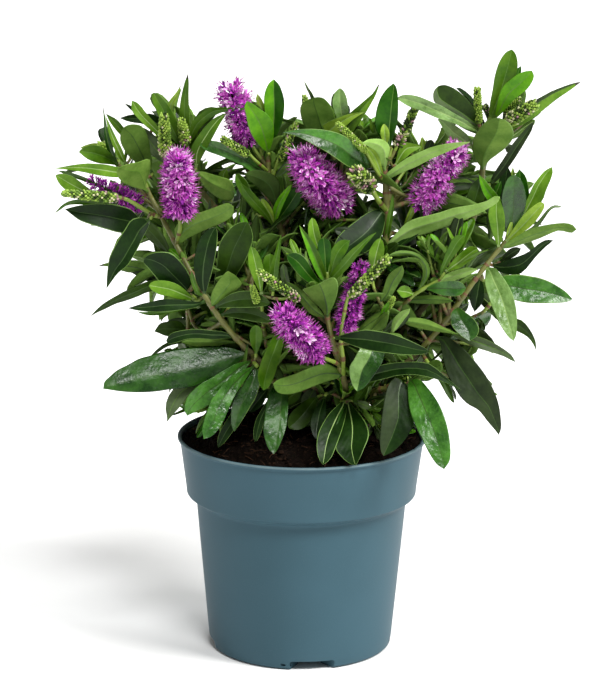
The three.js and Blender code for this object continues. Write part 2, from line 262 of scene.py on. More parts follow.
# ------------------------------------------------------------------ materials
def node_material(name, colour, colour2, rough=0.5, rough2=None, patch=60.0, fine=900.0, bump=0.1,
                  bump_scale=700.0, bump_dist=0.0002, spec=0.5, mix=0.55, coat=0.0, sheen=0.0, kind="NOISE",
                  speck=None, speck_amount=0.62, speck_scale=1500.0, detail=3.0, sss=0.0):
    """Two tones mixed by soft patches and fine grain, with roughness and relief of their own."""
    mat = bpy.data.materials.new(name)
    mat.use_nodes = True
    nt = mat.node_tree
    nt.nodes.clear()
    N, L = nt.nodes.new, nt.links.new
    out = N("ShaderNodeOutputMaterial")
    bsdf = N("ShaderNodeBsdfPrincipled")
    L(bsdf.outputs[0], out.inputs["Surface"])
    tc = N("ShaderNodeTexCoord")
    big = N("ShaderNodeTexNoise"); big.inputs["Scale"].default_value = patch; big.inputs["Detail"].default_value = detail
    small = N("ShaderNodeTexNoise"); small.inputs["Scale"].default_value = fine; small.inputs["Detail"].default_value = 2.0
    L(tc.outputs["Object"], big.inputs["Vector"])
    L(tc.outputs["Object"], small.inputs["Vector"])
    ramp = N("ShaderNodeValToRGB")
    ramp.color_ramp.elements[0].position = 0.5 - mix / 2
    ramp.color_ramp.elements[0].color = colour
    ramp.color_ramp.elements[1].position = 0.5 + mix / 2
    ramp.color_ramp.elements[1].color = colour2
    add = N("ShaderNodeMath"); add.operation = "MULTIPLY_ADD"
    add.inputs[1].default_value = 0.35
    L(small.outputs["Fac"], add.inputs[0])
    sub = N("ShaderNodeMath"); sub.operation = "SUBTRACT"; sub.inputs[1].default_value = 0.175
    L(big.outputs["Fac"], sub.inputs[0])
    L(sub.outputs[0], add.inputs[2])
    L(add.outputs[0], ramp.inputs["Fac"])
    colour_out = ramp.outputs["Color"]
    if speck is not None:
        dots = N("ShaderNodeTexNoise"); dots.inputs["Scale"].default_value = speck_scale; dots.inputs["Detail"].default_value = 1.0
        L(tc.outputs["Object"], dots.inputs["Vector"])
        cut = N("ShaderNodeMapRange")
        cut.inputs["From Min"].default_value = speck_amount
        cut.inputs["From Max"].default_value = speck_amount + 0.06
        L(dots.outputs["Fac"], cut.inputs["Value"])
        mixer = N("ShaderNodeMix"); mixer.data_type = "RGBA"
        L(cut.outputs["Result"], mixer.inputs["Factor"])
        L(colour_out, mixer.inputs["A"])
        mixer.inputs["B"].default_value = speck
        colour_out = mixer.outputs["Result"]
    L(colour_out, bsdf.inputs["Base Color"])
    if rough2 is None:
        bsdf.inputs["Roughness"].default_value = rough
    else:
        rr = N("ShaderNodeMapRange")
        rr.inputs["From Min"].default_value = 0.35
        rr.inputs["From Max"].default_value = 0.65
        rr.inputs["To Min"].default_value = rough
        rr.inputs["To Max"].default_value = rough2
        L(big.outputs["Fac"], rr.inputs["Value"])
        L(rr.outputs["Result"], bsdf.inputs["Roughness"])
    bsdf.inputs["Specular IOR Level"].default_value = spec
    if coat:
        bsdf.inputs["Coat Weight"].default_value = coat
        bsdf.inputs["Coat Roughness"].default_value = 0.25
    if sheen:
        bsdf.inputs["Sheen Weight"].default_value = sheen
    if bump:
        if kind == "VORONOI":
            tex = N("ShaderNodeTexVoronoi"); tex.inputs["Scale"].default_value = bump_scale
            height = tex.outputs["Distance"]
        else:
            tex = N("ShaderNodeTexNoise"); tex.inputs["Scale"].default_value = bump_scale
            tex.inputs["Detail"].default_value = 3.0
            height = tex.outputs["Fac"]
        L(tc.outputs["Object"], tex.inputs["Vector"])
        bp = N("ShaderNodeBump")
        bp.inputs["Strength"].default_value = bump
        bp.inputs["Distance"].default_value = bump_dist
        L(height, bp.inputs["Height"])
        L(bp.outputs["Normal"], bsdf.inputs["Normal"])
    return mat


def leaf_material(name, c1, c2, rough, rough2=None, bump=0.25, dist=0.0004, scale=420.0, spec=0.32):
    return node_material(name, srgb(*c1), srgb(*c2), rough=rough, rough2=rough2, patch=85.0, fine=520.0,
                         bump=bump, bump_scale=scale, bump_dist=dist, spec=spec, mix=0.36)


# leaf colour classes: N black green, X matt and near black, D dark, O dull olive, M middle, E deep and saturated, B bright,
# Y young, made paler still as painted light for leaves that sit in shade, G dark and glossy, H bright and glossy, J
# dark with less gloss, P pale and glossy, its paler colour painted sheen, L light
TOPS = {
    "N": leaf_material("leaf_black_green", (8, 30, 2), (22, 48, 6), 0.36, 0.48, spec=0.14),
    "X": leaf_material("leaf_near_black", (24, 38, 14), (38, 54, 22), 0.5, 0.6, spec=0.22),
    "D": leaf_material("leaf_dark", (26, 48, 2), (44, 70, 8), 0.34, 0.46, spec=0.17),
    "O": leaf_material("leaf_olive", (58, 74, 44), (82, 100, 62), 0.44, 0.54, spec=0.22),
    "M": leaf_material("leaf_middle", (50, 88, 3), (74, 110, 16), 0.36, 0.46, spec=0.2),
    "E": leaf_material("leaf_deep", (20, 62, 0), (38, 86, 2), 0.34, 0.46, spec=0.15),
    "B": leaf_material("leaf_bright", (58, 116, 0), (88, 146, 6), 0.36, 0.46, spec=0.2),
    # Y's young yellow-green is made paler still: painted light for leaves that sit in shade
    "Y": leaf_material("leaf_young_painted_lighter", (110, 144, 34), (144, 174, 62), 0.42, 0.5, spec=0.22),
    "G": leaf_material("leaf_glossy", (14, 49, 4), (42, 85, 16), 0.23, 0.34, bump=0.7, dist=0.0006, scale=400.0, spec=0.55),
    # P's paler, greyer green is painted sheen, where light glances off a glossy blade
    "P": leaf_material("leaf_pale_painted_sheen", (80, 112, 48), (118, 152, 82), 0.26, 0.38, bump=0.6, dist=0.0006, scale=400.0, spec=0.45),
    "H": leaf_material("leaf_glossy_bright", (28, 72, 8), (64, 118, 30), 0.26, 0.36, bump=0.7, dist=0.0006, scale=400.0, spec=0.5),
    "J": leaf_material("leaf_half_glossy", (12, 46, 3), (38, 80, 12), 0.26, 0.38, bump=0.6, dist=0.0006, scale=400.0, spec=0.38),
    "L": leaf_material("leaf_light", (72, 112, 10), (100, 140, 30), 0.4, 0.5, spec=0.22),
}
UNDERS = {
    "W": leaf_material("under_pale", (126, 164, 74), (152, 190, 100), 0.6, 0.7, spec=0.22),
    "U": leaf_material("under_light", (80, 114, 36), (108, 140, 56), 0.6, 0.7, spec=0.22),
    "V": leaf_material("under_dark", (64, 96, 26), (88, 118, 44), 0.6, 0.7, spec=0.22),
    "K": leaf_material("under_shade", (34, 54, 8), (50, 72, 20), 0.6, 0.7, spec=0.22),
}
RIBS = {
    "d": leaf_material("midrib_dark", (36, 62, 16), (56, 84, 30), 0.42, bump=0.1),
    "m": leaf_material("midrib_middle", (66, 102, 26), (90, 124, 46), 0.42, bump=0.1),
    "p": leaf_material("midrib_pale", (118, 148, 76), (148, 174, 106), 0.45, bump=0.1),
}
MARGIN = leaf_material("leaf_margin", (80, 112, 42), (108, 140, 66), 0.45, bump=0.1)
TIP = leaf_material("leaf_tip", (42, 40, 26), (66, 62, 44), 0.6, bump=0.1)
LEAF_MATS = [*TOPS.values(), *UNDERS.values(), *RIBS.values(), MARGIN, TIP]
TOP_IX = {k: i for i, k in enumerate(TOPS)}
UNDER_IX = {k: len(TOPS) + i for i, k in enumerate(UNDERS)}
RIB_IX = {k: len(TOPS) + len(UNDERS) + i for i, k in enumerate(RIBS)}
MARGIN_IX, TIP_IX = len(LEAF_MATS) - 2, len(LEAF_MATS) - 1
UNDER_OF = {"O": "V", "N": "K", "X": "K", "D": "V", "M": "V", "E": "V", "B": "U", "Y": "U", "G": "V", "H": "V", "J": "V", "P": "U", "L": "U"}
RIB_OF = {"O": "m", "N": "d", "X": "d", "D": "d", "M": "m", "E": "m", "B": "m", "Y": "p", "G": "d", "H": "d", "J": "d", "P": "p", "L": "p",
          "W": "p", "U": "m", "V": "d", "K": "d"}
ALL_IX = {**TOP_IX, **UNDER_IX}

BARK = node_material("bark", srgb(66, 52, 32), srgb(104, 88, 58), rough=0.85, patch=130.0, fine=900.0,
                     bump=0.7, bump_scale=500.0, bump_dist=0.0006, speck=srgb(40, 30, 18), speck_scale=380.0)
STEM_OLD = node_material("stem_woody", srgb(78, 74, 36), srgb(108, 104, 58), rough=0.7, patch=160.0,
                         bump=0.45, bump_scale=420.0, bump_dist=0.0004)
STEM_GREEN = node_material("stem_green", srgb(80, 82, 30), srgb(108, 110, 50), rough=0.5, patch=140.0,
                           bump=0.25, bump_scale=600.0)
STEM_YOUNG = node_material("stem_young", srgb(98, 124, 34), srgb(132, 154, 60), rough=0.45, patch=140.0,
                           bump=0.2, bump_scale=600.0)
STEM_RED = node_material("stem_node", srgb(88, 58, 34), srgb(112, 82, 50), rough=0.6, patch=200.0,
                         bump=0.3, bump_scale=600.0)
STEM_MATS = [BARK, STEM_OLD, STEM_GREEN, STEM_YOUNG, STEM_RED]


# ------------------------------------------------------------------ leaves
_grid_cache = {}


def leaf_grid(nu, cols):
    key = (nu, len(cols))
    if key in _grid_cache:
        return _grid_cache[key]
    nv = len(cols) - 1
    top = np.arange((nu + 1) * (nv + 1)).reshape(nu + 1, nv + 1)
    low = top.copy()
    low[1:-1, 1:-1] = (nu + 1) * (nv + 1) + np.arange((nu - 1) * (nv - 1)).reshape(nu - 1, nv - 1)
    q = lambda g, flip: np.stack([g[:-1, :-1], g[:-1, 1:], g[1:, 1:], g[1:, :-1]] if not flip else
                                 [g[:-1, :-1], g[1:, :-1], g[1:, 1:], g[:-1, 1:]], -1).reshape(-1, 4)
    faces = np.concatenate([q(top, False), q(low, True)])
    _grid_cache[key] = faces
    return faces


def columns(count):
    """Places across the blade, from edge to edge; the two middle ones bound the midrib."""
    side = np.linspace(0.2, 0.8, count)
    return np.concatenate([[-1, -0.93], -side[::-1], [-0.001, 0.001], side, [0.93, 1.0]])


FINE_COLS, HERO_COLS, PLAIN_COLS = columns(10), columns(3), np.array([-1, -.62, -.001, .001, .62, 1.0])
SHAPES = {  # a, b of u^a (1-u)^b: n normal, r blunt, p pointed, o widest past the middle, e long and even
    "n": (0.95, 0.72), "r": (0.95, 0.5), "p": (0.85, 0.95), "o": (1.3, 0.5), "e": (0.7, 0.7),
}
_lattice = np.random.default_rng(77).random((64, 64)) * 2 - 1


def noise2(x, y):
    """Smooth noise between -1 and 1 over the plane."""
    xi, yi = np.floor(x).astype(int), np.floor(y).astype(int)
    fx, fy = x - xi, y - yi
    fx, fy = fx * fx * (3 - 2 * fx), fy * fy * (3 - 2 * fy)
    g = lambda i, j: _lattice[i % 64, j % 64]
    return ((g(xi, yi) * (1 - fx) + g(xi + 1, yi) * fx) * (1 - fy)
            + (g(xi, yi + 1) * (1 - fx) + g(xi + 1, yi + 1) * fx) * fy)


def blade_relief(u, x, half, cols, length, cup, wave, wrinkle, seed):
    """How far each point of a blade stands off its plain surface: cupping, a wavy edge, a groove on the midrib, wrinkles."""
    rs = np.random.default_rng(seed * 7919 + 13)
    p1, p2, p3 = rs.random(3) * 2 * math.pi
    edge = np.abs(cols)[None, :] ** 1.7
    swell = np.sin(math.pi * np.clip(u, 0, 1))[:, None]
    h = cup * x * x / np.maximum(half[:, None], 1e-6) * 0.5
    h = h + wave * swell * edge * np.where(cols[None, :] < 0, np.sin(u[:, None] * 13 + p1), np.sin(u[:, None] * 12 + p2))
    h += 0.22 * wave * swell * np.sin(u[:, None] * 31 + p3 + cols[None, :] * 3) * np.cos(cols[None, :] * 5 + p1)
    h -= 0.28 * np.exp(-(x / 0.9) ** 2) * swell
    if wrinkle:
        along = u[:, None] * length
        qx, qy = along / 3.3 + seed * 7.1, np.abs(x) / 2.2 + seed * 3.7 + along / 9.0
        ridged = (1 - np.abs(noise2(qx, qy))) * 0.6 + noise2(qx * 2.3 + 5, qy * 2.1 + 9) * 0.3
        veins = np.sin((along - np.abs(x) * 1.3) * 0.95 + noise2(qx * 0.5, qy * 0.5) * 3)
        h += wrinkle * swell * (ridged * 0.55 + veins * 0.18) * np.clip(1.15 - edge, 0.1, 1)
    return h


def leaf_paint(nu, cols, u, cls, under, right, rib, margin, tip_dark):
    """Material of each face of a leaf: upper side, then underside."""
    nv, c = len(cols) - 1, (len(cols) - 1) // 2
    under = under or UNDER_OF[cls]
    tops = np.full((nu, nv), TOP_IX[cls])
    unds = np.full((nu, nv), UNDER_IX[under])
    # a half with a class of its own: painted light and shade, as they fall differently on the two halves of a folded
    # blade
    if right:
        if right in UNDER_IX:
            unds[:, c + 1:] = UNDER_IX[right]
        else:
            tops[:, c + 1:] = TOP_IX[right]
    rib_top = RIB_IX[rib or RIB_OF[cls]]
    rib_until = nu - max(1, nu // 14)
    tops[:rib_until, c] = rib_top
    unds[:rib_until, c] = RIB_IX[rib or RIB_OF[under]]
    stalk = max(1, int(np.searchsorted(u, 0.045)))
    tops[:stalk, :] = rib_top
    unds[:stalk, :] = RIB_IX[RIB_OF[under]]
    if margin:
        if margin != 2:
            tops[2:, 0] = MARGIN_IX
        if margin != 3:
            tops[2:, -1] = MARGIN_IX
        unds[2:, 0] = MARGIN_IX
        unds[2:, -1] = MARGIN_IX
    if tip_dark:
        tops[-2:, :] = TIP_IX
        unds[-2:, :] = TIP_IX
    return np.concatenate([tops.ravel(), unds.ravel()])


def edge_curve(points, u):
    """Places at the shares u of the way along a smooth curve through picture points."""
    c = catmull([(x, y, 0.0) for x, y in points], 0.5)
    s = np.concatenate([[0], np.cumsum(np.linalg.norm(np.diff(c, axis=0), axis=1))])
    return np.stack([np.interp(u * s[-1], s, c[:, k]) for k in (0, 1)], 1)


def add_traced_leaf(pile, base, tip, left, right, turn, cls="M", under=None, fold=14.0, arch=0.08, dip=0.0, cup=0.0,
                    wave=0.5, margin=0, tip_dark=False, nu=18, cols=HERO_COLS, thick=0.3, seed=0, wrinkle=0.0,
                    painted_half_cls=None, rib=None, rib_at=0.0):
    """A leaf whose two edges are given as they are seen. Fold, arch, turn and relief move it along the line of sight only."""
    k = np.arange(nu + 1) / nu
    u = 0.35 * k + 0.65 * (0.5 - 0.5 * np.cos(math.pi * k))
    foot, end = seen_at(base), seen_at(tip)
    facing = 1.0 if math.cos(math.radians(turn)) > 0 else -1.0
    tilt = max(-34.0, min(34.0, -turn if facing > 0 else 180.0 - turn))
    a, b = edge_curve([foot, *left, end], u), edge_curve([foot, *right, end], u)
    if facing < 0:
        a, b = b, a
    px = 1 / mm_per_px((base + tip) / 2)
    hv = (b - a) / 2
    run = np.gradient((a + b) / 2, axis=0)
    run /= np.maximum(np.linalg.norm(run, axis=1), 1e-9)[:, None]
    across = np.stack([-run[:, 1], run[:, 0]], 1) * facing
    least = np.maximum(1.15 * np.clip(1 - u / 0.16, 0, 1) ** 0.5, 0.12) * px
    hv = hv + across * np.maximum(0, least - np.linalg.norm(hv, axis=1))[:, None]
    size = np.maximum(np.linalg.norm(hv, axis=1), 1e-6)
    half, way = size / px, hv / size[:, None]
    spine = (a + b) / 2 + hv * rib_at
    c = (len(cols) - 1) // 2
    x = cols[None, :] * np.where(cols[None, :] < 0, 1 + rib_at, 1 - rib_at) * half[:, None]
    rib_half = np.minimum(0.34 * (1 - u) + 0.1, half * 0.17 * (1 - abs(rib_at)))
    x[:, c], x[:, c + 1] = -rib_half, rib_half
    P = spine[:, None, :] + way[:, None, :] * (x * px)[..., None]
    length = np.linalg.norm(tip - base)
    soft = np.sqrt(x * x + (0.14 * half[:, None]) ** 2) - 0.14 * half[:, None]
    h = soft * math.tan(math.radians(fold)) + blade_relief(u, x, half, cols, length, cup, wave, wrinkle, seed)
    h = h + arch * length * np.sin(math.pi * u)[:, None]
    y = (lerp(base[1], tip[1], u) + dip * 4 * u * (1 - u))[:, None] - facing * h + facing * x * math.tan(math.radians(tilt))
    d = FWD + ((P[..., 0] - IMG_W / 2) / FOCAL)[..., None] * RIGHT + ((IMG_H / 2 - P[..., 1]) / FOCAL)[..., None] * UP
    top = EYE + d * ((y - EYE[1]) / d[..., 1])[..., None]
    nor = np.cross(np.gradient(top, axis=1), np.gradient(top, axis=0))
    nor /= np.maximum(np.linalg.norm(nor, axis=2), 1e-9)[..., None]
    th = thick * (0.55 + 0.45 * (1 - np.abs(cols)[None, :] ** 4)) + 0.6 * np.exp(-(x / 0.8) ** 2) * np.clip(1.1 - u[:, None], 0.15, 1)
    low = top - nor * th[..., None]
    verts = np.concatenate([top.reshape(-1, 3), low[1:-1, 1:-1].reshape(-1, 3)])
    # the class given for one half paints light and shade on that half
    pile.add(verts, leaf_grid(nu, cols), leaf_paint(nu, cols, u, cls, under, painted_half_cls, rib, margin, tip_dark))
    return top


def add_leaf(pile, base, tip, width, normal, ctrl=None, cls="M", under=None, fold=14.0, cup=0.0, wave=0.5,
             twist=0.0, shape="n", margin=0, tip_dark=False, nu=18, cols=HERO_COLS, thick=0.3, seed=0, wrinkle=0.0,
             right=None, rib=None):
    """One leaf from base to tip with its upper side towards normal. fold raises both halves, cup curls them, right
    gives the half on the right of the midrib a class of its own, which paints the light and shade that fall differently
    on the two halves."""
    base, tip = np.asarray(base, float), np.asarray(tip, float)
    length = np.linalg.norm(tip - base)
    if ctrl is None:
        ctrl = (base + tip) / 2
    k = np.arange(nu + 1) / nu
    u = 0.35 * k + 0.65 * (0.5 - 0.5 * np.cos(math.pi * k))
    t = u[:, None]
    mid = (1 - t) ** 2 * base + 2 * t * (1 - t) * ctrl + t * t * tip
    tan = 2 * (1 - t) * (ctrl - base) + 2 * t * (tip - ctrl)
    tan /= np.maximum(np.linalg.norm(tan, axis=1), 1e-9)[:, None]
    side = np.cross(tan, np.asarray(normal, float))
    side /= np.maximum(np.linalg.norm(side, axis=1), 1e-9)[:, None]
    nor = np.cross(side, tan)
    if twist:
        a = np.radians(twist) * (u - 0.3)
        ca, sa = np.cos(a)[:, None], np.sin(a)[:, None]
        side, nor = side * ca + nor * sa, nor * ca - side * sa
    a, b = SHAPES[shape]
    peak = a / (a + b)
    prof = (u ** a) * ((1 - u) ** b) / (peak ** a * (1 - peak) ** b)
    petiole = 1.15 * np.clip(1 - u / 0.16, 0, 1) ** 0.5
    half = np.maximum(width / 2 * prof, petiole)
    half[-1] = 0.12
    x = cols[None, :] * half[:, None]
    c = (len(cols) - 1) // 2
    rib_half = np.minimum(0.34 * (1 - u) + 0.1, half * 0.17)
    x[:, c], x[:, c + 1] = -rib_half, rib_half
    soft = np.sqrt(x * x + (0.14 * half[:, None]) ** 2) - 0.14 * half[:, None]
    fr = math.radians(fold)
    h = soft * math.sin(fr) + blade_relief(u, x, half, cols, length, cup, wave, wrinkle, seed)
    top = mid[:, None, :] + side[:, None, :] * (x * math.cos(fr))[..., None] + nor[:, None, :] * h[..., None]
    th = thick * (0.55 + 0.45 * (1 - np.abs(cols)[None, :] ** 4)) + 0.6 * np.exp(-(x / 0.8) ** 2) * np.clip(1.1 - u[:, None], 0.15, 1)
    low = top - nor[:, None, :] * th[..., None]
    verts = np.concatenate([top.reshape(-1, 3), low[1:-1, 1:-1].reshape(-1, 3)])
    paint = leaf_paint(nu, cols, u, cls, under, right, rib, margin, tip_dark)
    pile.add(verts, leaf_grid(nu, cols), paint)
    return top


# ------------------------------------------------------------------ limbs
TRUNK_FOOT, TRUNK_LEAN, SOIL_TOP, TRUNK_TOP = (22, -5), (2, 1), 156.0, 186.0


def trunk_at(z):
    t = (z - SOIL_TOP) / (TRUNK_TOP - SOIL_TOP)
    return np.array([TRUNK_FOOT[0] + TRUNK_LEAN[0] * t, TRUNK_FOOT[1] + TRUNK_LEAN[1] * t, z])


BOUGHS = {
    "left_bough": (172, (-102, -3, 312), ((-31, -41, -8), (-4, -34, -14)), (2.3, 1.5)),
    "right_bough": (176, (132, -9, 281), ((20, -15, -19), (1, -22, -1)), (2.5, 1.5)),
    "front_bough": (164, (15, -62, 268), ((24, -20, -15), (-7, -18, -7)), (2.3, 1.5)),
    "centre_bough": (183, (53, -7, 336), ((15, -4, -1), (17, -7, -5)), (3.0, 2.0)),
    "top_left_bough": (181, (-24, 4, 342), ((8, -3, 3), (-17, -5, -3)), (2.7, 1.6)),
    "left_bloom_bough": (178, (-80, 8, 326), ((5, 21, 5), (5, 21, 5)), (2.7, 1.8)),
    "top_middle_bough": (183, (22, 2, 332), ((3, 15, 0), (3, 15, 0)), (2.7, 1.8)),
    "top_right_bough": (180, (119, 4, 350), ((20, 18, -18), (39, 11, -13)), (2.8, 1.8)),
    "lower_front_bough": (167, (62, -44, 192), ((3, -5, 7), (3, -5, 7)), (2.6, 1.9)),
    "inner_left_bough": (167, (-38, -30, 262), ((-4, -9, 0), (-4, -9, 0)), (2.5, 1.7)),
    "back_left_bough": (174, (-74, 80, 280), ((-11, 11, -16), (-11, 11, -16)), (2.8, 1.8)),
    "back_middle_bough": (180, (4, 96, 296), ((0, 13, -19), (0, 13, -19)), (2.8, 1.8)),
    "back_right_bough": (172, (88, 80, 288), ((8, 11, -16), (8, 11, -16)), (2.8, 1.8)),
}


def bough_points(name):
    low, end, bend, _ = BOUGHS[name]
    s, e = trunk_at(low), np.array(end, float)
    out = unit([e[0] - s[0], e[1] - s[1], 0])
    s = s + out * 1.5
    c1 = lerp(s, e, 1 / 3) + np.array(bend[0])
    c2 = lerp(s, e, 2 / 3) + np.array(bend[1])
    t = np.linspace(0, 1, 60)[:, None]
    return resample((1 - t) ** 3 * s + 3 * t * (1 - t) ** 2 * c1 + 3 * t * t * (1 - t) * c2 + t ** 3 * e, 1.6)


class Stem:
    def __init__(self, name, pts, r0, r1):
        self.name, self.pts = name, pts
        t = np.linspace(0, 1, len(pts))
        self.r = lerp(r0, r1, t)


STEMS = []


def nearest_on_stems(p, skip=(), only=None):
    """(distance, stem, index) of the stem point nearest to p."""
    best = (1e9, None, 0)
    for s in STEMS:
        if s.name in skip or (only and s.name not in only):
            continue
        d = np.linalg.norm(s.pts - p, axis=1)
        i = int(np.argmin(d))
        if d[i] < best[0]:
            best = (d[i], s, i)
    return best


def stem_rings(pts, r, node_gap=13.0, swell=0.2, wobble=0.035, seed=1):
    """Radii with swollen nodes and a little unevenness."""
    s = np.concatenate([[0], np.cumsum(np.linalg.norm(np.diff(pts, axis=0), axis=1))])
    rs = np.random.default_rng(seed)
    nodes = np.arange(node_gap * (0.4 + rs.random() * 0.5), s[-1], node_gap)
    out = np.array(r, float)
    for k in nodes:
        out = out * (1 + swell * np.exp(-((s - k) / 1.3) ** 2))
    out *= 1 + wobble * np.sin(s * 0.9 + rs.random() * 6) + wobble * np.sin(s * 0.37 + rs.random() * 6)
    return out, nodes, s


def bark_relief(seed, amount):
    rs = np.random.default_rng(seed)
    ph = rs.random(6) * 6.28

    def f(ang, s):
        return (1 + amount * (0.5 * np.sin(5 * ang + 0.25 * s + ph[0]) * np.sin(0.55 * s + ph[1])
                              + 0.5 * np.sin(9 * ang - 0.18 * s + ph[2]) * np.cos(0.8 * s + ph[3])
                              + 0.35 * np.sin(3 * ang + ph[4]) * np.sin(1.9 * s + ph[5])))
    return f


# trunk with flared foot and fissured bark
def make_trunk():
    pile = Pile()
    n, sides = 56, 56
    z = np.linspace(SOIL_TOP + 0.3, TRUNK_TOP, n)
    ang = np.linspace(0, 2 * math.pi, sides, endpoint=False)
    rs = np.random.default_rng(5)
    ph = rs.random(8) * 6.28
    verts = []
    for zz in z:
        c = trunk_at(zz)
        t = (zz - SOIL_TOP) / (TRUNK_TOP - SOIL_TOP)
        flare = max(0.0, 1 - (zz - SOIL_TOP) / 9.0)
        r = lerp(6.4, 4.6, t) + (10.5 - 6.4) * flare ** 2
        ridge = 1 + 0.14 * max(0, 1 - (zz - SOIL_TOP) / 12.6) * np.sin(3 * ang + 0.7)
        fis = (0.04 * np.sin(11 * ang + 0.5 * zz + ph[0]) * np.sin(0.35 * zz + ph[1])
               + 0.035 * np.sin(17 * ang - 0.22 * zz + ph[2]) + 0.02 * np.sin(7 * ang + 1.4 * zz + ph[3]))
        rr = r * ridge * (1 + fis)
        verts.append(np.stack([c[0] + rr * np.cos(ang), c[1] + rr * np.sin(ang), np.full(sides, zz)], -1))
    v = np.concatenate(verts)
    i = np.arange(n - 1)[:, None]; j = np.arange(sides)[None, :]; j2 = (j + 1) % sides
    f = np.stack([i * sides + j, i * sides + j2, (i + 1) * sides + j2, (i + 1) * sides + j], -1).reshape(-1, 4)
    pile.add(v, f, 0)
    for ring, zc, flip in ((0, z[0], True), (n - 1, z[-1] + 1.2, False)):
        c = trunk_at(zc)
        pile.v.append(np.array([c])); ix = pile.n; pile.n += 1
        k = np.arange(sides)
        tri = np.stack([np.full(sides, ix), ring * sides + k, ring * sides + (k + 1) % sides], -1)
        pile.f.append(tri[:, ::-1] if flip else tri); pile.m.append(np.zeros(sides, int)); pile.tris += sides
    return pile.build("trunk_bark", [BARK], "bark", ["trunk"])


make_trunk()

for name, (low, end, bend, (r0, r1)) in BOUGHS.items():
    pts = bough_points(name)
    st = Stem(name, pts, r0, r1)
    STEMS.append(st)


def stem_mats(n, s, nodes, woody_to, green_to, seed):
    """Material of each ring: bark low down, then woody, green and young, with redder nodes."""
    rs = np.random.default_rng(seed)
    m = np.zeros(n, int)
    for i in range(n):
        q = s[i] / max(s[-1], 1e-6) + (rs.random() - 0.5) * 0.06
        m[i] = 0 if q < woody_to * 0.5 else 1 if q < woody_to else 2 if q < green_to else 3
        if m[i] >= 2 and len(nodes) and np.min(np.abs(nodes - s[i])) < 1.1:
            m[i] = 4 if rs.random() < 0.6 else m[i]
    return m


for k, name in enumerate(BOUGHS):
    st = STEMS[k]
    pile = Pile()
    rr, nodes, s = stem_rings(st.pts, st.r, seed=40 + k)
    mats = stem_mats(len(st.pts), s, nodes, 0.42, 2.0, 60 + k)
    tube(pile, st.pts, rr, 14, mats, relief=bark_relief(80 + k, 0.06))
    pile.build(name + "_stem", STEM_MATS, "green_stem", [name])

twigs = Pile()


def shoot(name, pts, r0=1.7, r1=1.2, parent=None, young=0.5, own=True, node_gap=12.0, lead=None):
    """A stem through the given points. Its first point is drawn from the nearest stem, so that it grows out of it."""
    P = [np.asarray(p, float) if len(p) == 3 and not isinstance(p, tuple) else at(*p) for p in pts]
    d, st, i = nearest_on_stems(P[0], only=parent)
    root = st.pts[i]
    if d > 4:
        ahead = unit(P[0] - root) if lead is None else unit(lead)
        along = unit(st.pts[min(i + 2, len(st.pts) - 1)] - st.pts[max(i - 2, 0)])
        bendp = root + (ahead * 0.7 + along * 0.3) * d * 0.5
        P = [root, bendp] + P
    else:
        P = [root] + P[1:] if len(P) > 2 else [root] + P
    path = catmull(P, 1.8)
    s = Stem(name, path, min(r0, st.r[i] * 0.92), r1)
    if own:
        STEMS.append(s)
    rr, nodes, sl = stem_rings(path, s.r, node_gap=node_gap, swell=0.16, seed=abs(hash_name(name)) % 9999)
    mats = stem_mats(len(path), sl, nodes, 0.0, 1 - young, abs(hash_name(name)) % 997)
    tube(twigs, path, rr, 9, mats, relief=bark_relief(abs(hash_name(name)) % 991, 0.03))
    return s


def hash_name(name):
    v = 7
    for ch in str(name):
        v = (v * 131 + ord(ch)) % 1000003
    return v


# hero shoots: points are (picture x, picture y, depth)
shoot("ul_tip", [(152, 197, -3), (146, 186, -2), (142, 178, -2)], 1.9, 1.4, ["left_bough"])
shoot("ul_fan", [(146, 188, 0), (133, 178, 3), (122, 171, 2), (118, 166, 0)], 1.6, 1.2, ["ul_tip", "left_bough"])
shoot("ul_bud_stalk", [(162, 217, -9), (150, 213, -12), (128, 200, -15), (116, 197, -16)], 1.5, 1.2, ["left_bough"], young=0.9)
shoot("f2_stalk", [(177, 243, -19), (180, 228, -22), (179, 213, -22)], 1.6, 1.3, ["left_bough"], young=0.9)
shoot("f1_stalk", [(160, 211, 0), (150, 205, 4), (142, 202, 6)], 1.4, 1.2, ["left_bough"])
shoot("bloom_tip", [(190, 184, 10), (184, 168, 10), (181, 152, 8), (180, 144, 6)], 1.7, 1.3, ["left_bloom_bough"])
shoot("b1_stalk", [(178, 166, 6), (169, 160, 2), (165, 150, 0)], 1.2, 1.0, ["bloom_tip"], young=1)
shoot("b2_stalk", [(184, 158, 6), (187, 148, 4), (187, 142, 4)], 1.2, 1.0, ["bloom_tip"], young=1)
shoot("tl_tip", [(268, 158, 4), (268, 150, 4), (269, 143, 3)], 1.7, 1.3, ["top_left_bough"])
shoot("tl_side", [(276, 224, -1), (276, 219, -6), (276, 212, -8)], 1.5, 1.2, ["top_left_bough"])
shoot("b3_stalk", [(266, 172, 0), (258, 163, -4), (248, 153, -6)], 1.2, 1.0, ["top_left_bough"], young=1)
shoot("f3_stalk", [(268, 168, 4), (260, 158, 5), (252, 146, 4)], 1.4, 1.2, ["top_left_bough"], young=0.6)
shoot("b4_stalk", [(271, 186, 2), (273, 176, 0), (278, 160, -2)], 1.2, 1.0, ["top_left_bough"], young=1)
shoot("tm_tip", [(336, 166, 2), (330, 150, 4), (325, 136, 5)], 1.7, 1.3, ["top_middle_bough"])
shoot("tm_right", [(338, 190, 4), (346, 170, 4), (348, 150, 4), (344, 136, 4)], 1.5, 1.2, ["top_middle_bough"])
shoot("f4_stalk", [(340, 228, 8), (342, 218, -2), (338, 206, -10)], 1.5, 1.2, ["top_middle_bough"], young=0.7)
shoot("tc_tip", [(384, 170, -7), (388, 160, -7), (391, 148, -6)], 1.8, 1.3, ["centre_bough"])
